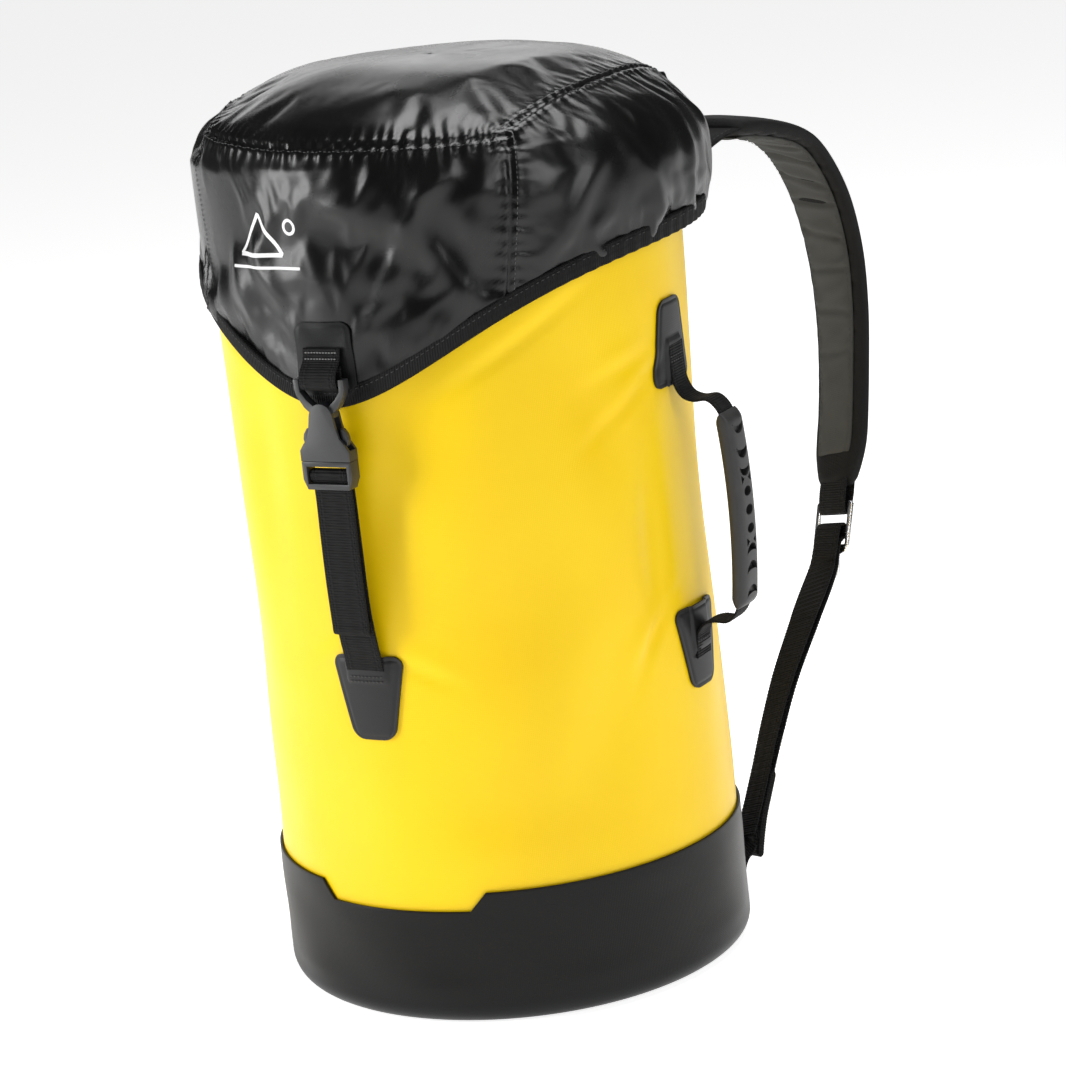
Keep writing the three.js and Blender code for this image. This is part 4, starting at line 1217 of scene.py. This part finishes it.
cuts = [crescent(331, 6.4, 6.5, 1), crescent(317, 6.4, 7.0, 1), crescent(305.5, 6.0, 6.0, 1),
        oval(290.5, 4.2, 2.9), oval(279.5, 4.4, 3.1), oval(268.5, 4.2, 2.9),
        crescent(253.5, 6.0, 6.0, -1), crescent(242, 6.4, 7.0, -1), crescent(228, 6.4, 6.5, -1),
        *triangles(298), *triangles(261)]
grip_points = [(bow(z) + 1.0, 0, z) for z in np.linspace(GRIP_LOW + 0.5, GRIP_TOP, 12)]
grip = band("grip_rubber", grip_points, Y_AXIS, 21, 10.4, rib=0, step=1.5, cells=22, power=3.2)
cutter = extruded("grip_cutter", cuts, 176.2, 190)
modify(grip, "BOOLEAN", object=cutter, operation="DIFFERENCE", solver="EXACT")
bpy.data.objects.remove(cutter, do_unlink=True)
polish(grip, "grip", "side_handle", ["handle_grip"], 30)

# %% [markdown]
# ## Hard pieces
# The buckle halves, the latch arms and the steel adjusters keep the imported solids' shapes. Each is
# copied, its flat faces are joined again, and every edge gets the small radius that moulding or
# stamping leaves.

# %% Buckle and adjusters
def refined(name, node_name, radius, body):
    """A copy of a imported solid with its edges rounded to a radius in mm."""
    solid = frame["nodes"][node_name]
    made = bpy.data.objects.new(name, solid.data.copy())
    bpy.context.scene.collection.objects.link(made)
    made.matrix_world = solid.matrix_world.copy()
    made.data.transform(made.matrix_world)
    made.matrix_world = Matrix.Identity(4)
    on_whole_mesh(made, JOINED, (bpy.ops.mesh.dissolve_limited, {"angle_limit": math.radians(2)}),
                  FACING_OUT)
    modify(made, "BEVEL", width=radius * MM, segments=3, limit_method="ANGLE",
           angle_limit=math.radians(28), harden_normals=False, use_clamp_overlap=True)
    polish(made, SLOT_OF[node_name], body, [node_name], 35)


refined("buckle_socket_half", "buckle_socket", 0.7, "socket")
refined("buckle_clip_half", "buckle_clip", 0.7, "front_strap")
for word in ("right", "left"):
    refined("latch_arm_" + word, "buckle_latch_" + word, 0.5, "latch_" + word)
    refined("steel_adjuster_" + word, "strap_adjuster_" + word, 0.6, "shoulder_" + word)

# %% [markdown]
# ## Mouth
# Under the lid the tube's edge is bound with tape, and a thin nylon collar gathers over the opening.
# Its folds start flat at the tube and deepen towards the small mouth.

# %% Rim and collar
def rim(u, v):
    out, rise = tape_section(v, 2.15, 6.8)
    angle = 360 * u - 180
    return round_bag(angle, 139.3 + swell(angle, 494.0) * 0.5 + out, 494.8 + rise)


rim_tape = grid("rim_binding", (300, 20), rim, 880, 28, closed=True)
outward(rim_tape)
polish(rim_tape, "webbing", "bag", ["rim_tape"], 50)
# The collar from inside the tube to the mouth: radius and height.
COLLAR = np.array([(136, 460), (136, 485), (135.6, 503), (131, 514), (122, 521), (102, 528.5),
                   (82, 531.5), (66, 532.5)], float)


def collar(u, v):
    steps = np.linspace(0, 1, len(COLLAR))
    radius, z = np.interp(v, steps, COLLAR[:, 0]), np.interp(v, steps, COLLAR[:, 1])
    angle = 360 * u - 180
    turned = np.radians(angle)
    deep = smooth(ramp(v, 0.35, 1.0))
    gather = (np.sin(26 * turned + 1.5 * np.sin(3 * turned))
              + 0.6 * np.sin(43 * turned + np.sin(5 * turned)) - 1.2)
    flat = smooth(ramp(v, 0.5, 0.7))
    return round_bag(angle, radius + 1.4 * gather * deep * (1 - flat), z + 1.7 * gather * deep * flat)


collar_cloth = grid("collar_cloth", (416, 44), collar, 850, 140, closed=True)
thicken(collar_cloth, 0.7, out=-1, edge=0)
outward(collar_cloth)
polish(collar_cloth, "lining", "bag", ["closure_collar"], 60)

# %% [markdown]
# ## Back of the bag
# A reinforcing yoke is sewn across the back under the lid, and the shoulder straps and haul loop hang
# from it. The lid's hinge is a plain strip of cloth sewn to the wall above the yoke.

# %% Yoke, hinge strip and haul loop
BACK = 180  # degrees round the bag


def back_sheet(name, node_name, half_turn, low, high, thick):
    """A sheet of base cloth sewn on the back, from one height to another."""
    def place(u, v):
        return laid(TUBE, BACK + half_turn * (2 * u - 1), lerp(low, high, v), 0.3)

    made = grid(name, (70, 20), place, half_turn * 4.9, high - low)
    outward(made)
    thicken(made, thick, out=outer_side(middle_face(made), BACK), edge=0.3)
    polish(made, "base_cloth", "bag", [node_name], 50)


def back_row(name, half_turn, z, off):
    wall_row(name, np.linspace(BACK - half_turn, BACK + half_turn, 60), z, off, pitch=3.0)


back_sheet("yoke_cloth", "back_yoke", 32, 372, 411, 1.6)
back_sheet("hinge_cloth", "lid_hinge_strip", 38, 416, 447, 1.2)
for i, z in enumerate((375, 408)):
    back_row(f"yoke_stitches_{i}", 31, z, 1.95)
back_row("hinge_stitches", 37, 419.5, 1.55)
loop_y = float(round_bag(180, BAG_R + 3.4, 407)[1])
haul_points = [(0, loop_y + y, 402 + z) for y, z in
               ((0.4, 2), (1.6, -8), (2, -24), (5, -40), (11, -47), (18, -43), (21, -28), (19, -10),
                (10, 1), (3.4, 3.4))]
haul_loop = band("haul_loop_webbing", haul_points, X_AXIS, 25, WEB)
polish(haul_loop, "webbing", "haul_loop", ["haul_loop"], 50)
for i, x in enumerate((-9, 9)):
    points = [(x, loop_y + 0.4 + 1.6 * (404 - z) / 20 + 0.95, z) for z in np.linspace(384, 404, 10)]
    stitches(f"haul_stitches_{i}", points, np.tile([0, 1.0, 0], (10, 1)), "haul_loop")

# %% [markdown]
# ## Shoulder straps
# Each strap leaves the yoke as flat webbing, arches back and comes down as a padded band. The pad is a
# foam core in a black cover with a thick rounded edge, and a grey facing is quilted to its inner side,
# creased across where the strap bends.

# %% Strap lines
# The right strap's middle line, from the yoke to the adjuster.
STRAP_LINE = [(44, 137, 420), (49, 150, 435), (58, 176, 453), (66, 214, 464), (73, 257, 459),
              (80, 300, 442), (86, 325, 409), (90, 337, 368), (93, 336, 328), (95, 328, 290),
              (98, 311, 248), (100, 291, 213)]


def on_side(points, side):
    return [(side * x, y, z) for x, y, z in points]


def level_across(side, turn):
    """A level direction across a strap that is turned by some degrees."""
    turn = math.radians(turn)
    return np.array([math.cos(turn), -side * math.sin(turn), 0])


def strap_across(side):
    def across(t):
        return level_across(side, lerp(15, 26, float(smooth(t / 0.55))))
    return across


def pad_width(t):
    """The pad's width at a share of its length: it narrows, and ends in a rounded tip."""
    tip = 18 * max(0.0, (t - 0.88) / 0.12) ** 2.2
    return lerp(54, 58, float(smooth(t / 0.2))) - 14 * float(smooth((t - 0.35) / 0.5)) - tip


def share_at(points, target):
    route, _ = smooth_route(points)
    return int(np.argmin(np.linalg.norm(route - np.asarray(target, float), axis=1))) / (len(route) - 1)


# Wrinkles across the facing: share of the pad's length, lean and depth in mm.
WRINKLES = [(0.06, 0.3, 0.7), (0.12, -0.2, 0.9), (0.19, 0.25, 1.0), (0.25, -0.3, 0.7), (0.31, 0.2, 0.9),
            (0.38, 0.35, 0.7), (0.44, -0.2, 0.9), (0.52, 0.3, 0.6), (0.60, -0.15, 0.5), (0.69, 0.2, 0.5),
            (0.78, -0.2, 0.4)]


def wrinkled(scale):
    def relief(u, across, face):
        out = np.zeros(len(u))
        for at, slope, deep in WRINKLES:
            away = (u - at - 0.03 * slope * across) * 330
            out -= deep * (np.exp(-(away / 2.2) ** 2) - 0.5 * np.exp(-((np.abs(away) - 5) / 3) ** 2))
        out += 0.35 * np.sin(across * 5 + u * 40) * np.sin(u * 90)
        return scale * out * (face > 0) * (1 - across ** 8)
    return relief


def adjuster_place(side):
    """A function at(down, face) that places points on the steel adjuster, and its across direction."""
    end = np.array([side * 100.0, 291.0, 213.0])
    down = np.array([0, -0.42, -0.91]) / math.hypot(0.42, 0.91)
    across = strap_across(side)(1.0)
    across = across - down * (across @ down)
    across /= np.linalg.norm(across)
    face = np.cross(down, across)
    face = -face if face[1] > 0 else face

    def at(d, f):
        return end + down * d + face * f
    return at, across


# %% [markdown]
# The lower strap starts at the base patch, threads through the adjuster and hangs back beside itself.
# `THREADING` and `TAB_LINE` are distances down from the strap's end and out of its face.

# %% Lower strap lines
ANCHOR_TURN = 135.4  # degrees from the front to the base patches
BASE = surface_of(base)
THREADING = [(52, 6.4), (42, 5.2), (34, 4.8), (28, 4.2), (25.6, 3), (24.4, 0.4), (25.6, -2),
             (28.4, -2.8), (31, -2.2), (34.2, 0), (36.6, 2), (41, 2.6), (52, 3)]
LOW_LINE = [(104.5, 104, 37), (105, 113, 47), (105.5, 129, 67), (105.5, 150, 93), (105, 178, 120),
            (104, 216, 147)]
TAIL_LINE = [(104, 221, 143), (105, 184, 117), (105.5, 158, 91), (106, 137, 68), (106, 122, 48),
             (106, 115, 34), (106, 111, 22)]
TAB_LINE = [(-8, -3.2), (2.8, -3.6), (6, -3.5), (12, -3), (14.8, -2.7), (16.9, -1.6), (17.5, 0),
            (16.9, 1.6), (14.8, 2.7), (12, 3), (6, 3.5), (2.8, 3.6), (-8, 3.2)]


def edge_rows(name, points, across, share, half, off, body):
    """Two rows of stitches along a band, `half` mm to each side and `off` mm out of its face."""
    route, _ = smooth_route(points)
    side, face = frames(route, across)
    first, last = (int(s * (len(route) - 1)) for s in share)
    for i, s in enumerate((-1, 1)):
        wide = np.array([half(t) for t in np.linspace(0, 1, last - first)])[:, None]
        line = route[first:last] + side[first:last] * wide * s + face[first:last] * off
        stitches(f"{name}_{i}", line, face[first:last] * np.sign(off), body, pitch=4.0)


# %% [markdown]
# ## One shoulder strap
# Right and left are mirror images, so each function makes its pieces for one side: first the webbing,
# the pad and its facing, then the adjuster's loop and the lower strap, then what is sewn to the base.

# %% Upper strap
def facing_width(t):
    return pad_width(t * 0.93) - 13


def upper_strap(side, word):
    body = "shoulder_" + word
    line, across = on_side(STRAP_LINE, side), strap_across(side)
    split = share_at(line, line[3])
    top = band("shoulder_web_" + word, line, across, lambda t: lerp(46, 52, t), 2.4,
               share=(0, split + 0.02))
    polish(top, "webbing", body, ["shoulder_top_web_" + word], 50)
    pad = band("shoulder_padding_" + word, line, across, pad_width, 12, rib=0, step=1.6, cells=24,
               power=3.4, relief=wrinkled(0.8), share=(split, 1))
    polish(pad, "foam", body, ["shoulder_pad_" + word], 60)
    facing = band("pad_facing_" + word, line, across, facing_width, 2.6, rib=0, step=1.2, cells=26,
                  power=4.0, offset=6.1, relief=wrinkled(1.7), share=(split + 0.01, 0.95))
    polish(facing, "lining", body, ["shoulder_facing_" + word], 60)
    edge_rows("facing_stitches_" + word, line, across, (split + 0.02, 0.94),
              lambda t: pad_width(t * 0.93) / 2 - 8.3, 7.5, body)
    edge_rows("web_stitches_" + word, line, across, (0.01, split), lambda t: 20 + 2 * t, -1.35, body)
    sewn_turn = BACK - math.degrees(math.asin(40 / 145))
    sewn = [(x, float(round_bag(sewn_turn, 145.0, z)[1]) + out, z) for x, out, z in
            ((40, 0, 378), (40.5, 0, 396), (41.4, 1, 405), (42.4, 3.4, 412))]
    sewn.append((43.6, 136.6, 419.5))
    end = band("shoulder_end_" + word, on_side(sewn, side), across(0), 46, 2.4)
    polish(end, "webbing", "bag", ["shoulder_sewn_end_" + word], 50)


# %% Lower strap
def lower_strap(side, word):
    body = "shoulder_" + word
    at, wide = adjuster_place(side)
    tab = band("adjuster_loop_" + word, [at(d, f) for d, f in TAB_LINE], wide, 25, WEB)
    polish(tab, "webbing", body, ["adjuster_tab_" + word], 50)
    flat = level_across(side, 42)

    def twist(t):
        return lerp(flat, wide, float(smooth(ramp(min(t, 1 - t), 0.12, 0.4))))

    run = on_side(LOW_LINE, side) + [at(d, f) for d, f in THREADING] + on_side(TAIL_LINE, side)
    low = band("lower_strap_" + word, run, twist, 23, WEB, rib=0.22, rib_pitch=2.4)
    polish(low, "webbing", body, ["lower_webbing_" + word], 50)
    fold = band("lower_strap_fold_" + word, on_side(TAIL_LINE[3:], side), flat, 24.0, 5.0, rib=0.2)
    polish(fold, "webbing", body, angle=50)


# %% Strap ends at the base
def base_end(side, word):
    turn = side * ANCHOR_TURN
    foot = [round_bag(turn, 145.2 + out, z) for z, out in
            ((12, 0), (22, 0.3), (28, 3), (31, 6), (36, 9.5))]
    end = band("base_strap_end_" + word, foot, level_across(side, 42), 24, WEB)
    polish(end, "webbing", "bag", ["base_strap_foot_" + word], 50)
    welded_patch("base_patch_" + word, "base_anchor_" + word, BASE, turn, 15, 1, 33, 46, 40,
                 lambda across, along: 0.6 * smooth(ramp(13 - np.abs(across), 0, 2)),
                 base_off=0.2, thick=1.0, corner=5)


for word, side in (("right", 1), ("left", -1)):
    upper_strap(side, word)
    lower_strap(side, word)
    base_end(side, word)
print("shoulder straps made")


# %% [markdown]
# ## Print on the lid
# The front panel carries a small white print. Here it is a plain triangle and a ring over a short bar,
# which stand for no maker.

# %% Printed mark
def printed(name, line, wide):
    """A thin stripe of white ink along points of (angle, height) on the lid."""
    line = np.asarray(line, float)
    steps = np.hypot(np.diff(line[:, 0]) * LID_ARC, np.diff(line[:, 1]))
    run = np.concatenate([[0], np.cumsum(steps)])
    count = max(4, int(run[-1]))

    def on_line(at):
        return np.interp(at, run, line[:, 0]), np.interp(at, run, line[:, 1])

    def place(u, v):
        at = u * run[-1]
        angle, z = on_line(at)
        ahead, behind = on_line(np.minimum(at + 0.5, run[-1])), on_line(np.maximum(at - 0.5, 0))
        across, rise = (ahead[0] - behind[0]) * LID_ARC, ahead[1] - behind[1]
        size = np.maximum(np.hypot(across, rise), 1e-6)
        shift = (v - 0.5) * wide
        return laid(LID, angle - shift * rise / size / LID_ARC, z + shift * across / size, 0.12, LID_R)

    made = grid(name, (count, 4), place, run[-1], wide)
    outward(made)
    polish(made, "webbing", "lid", look=white_ink)


white_ink = moulded("white_ink", grey(0.8), 0.45, 0.01 * MM, grey(0.7))
printed("print_peak", [(-22, 458), (-15.5, 481), (-9, 458), (-22, 458)], 2.4)
ring = np.linspace(0, 2 * math.pi, 25)
printed("print_ring", np.stack([-6.5 + 1.5 * np.cos(ring), 474 + 3.9 * np.sin(ring)], -1), 1.8)
printed("print_bar", [(-24, 451), (-4, 451)], 1.6)
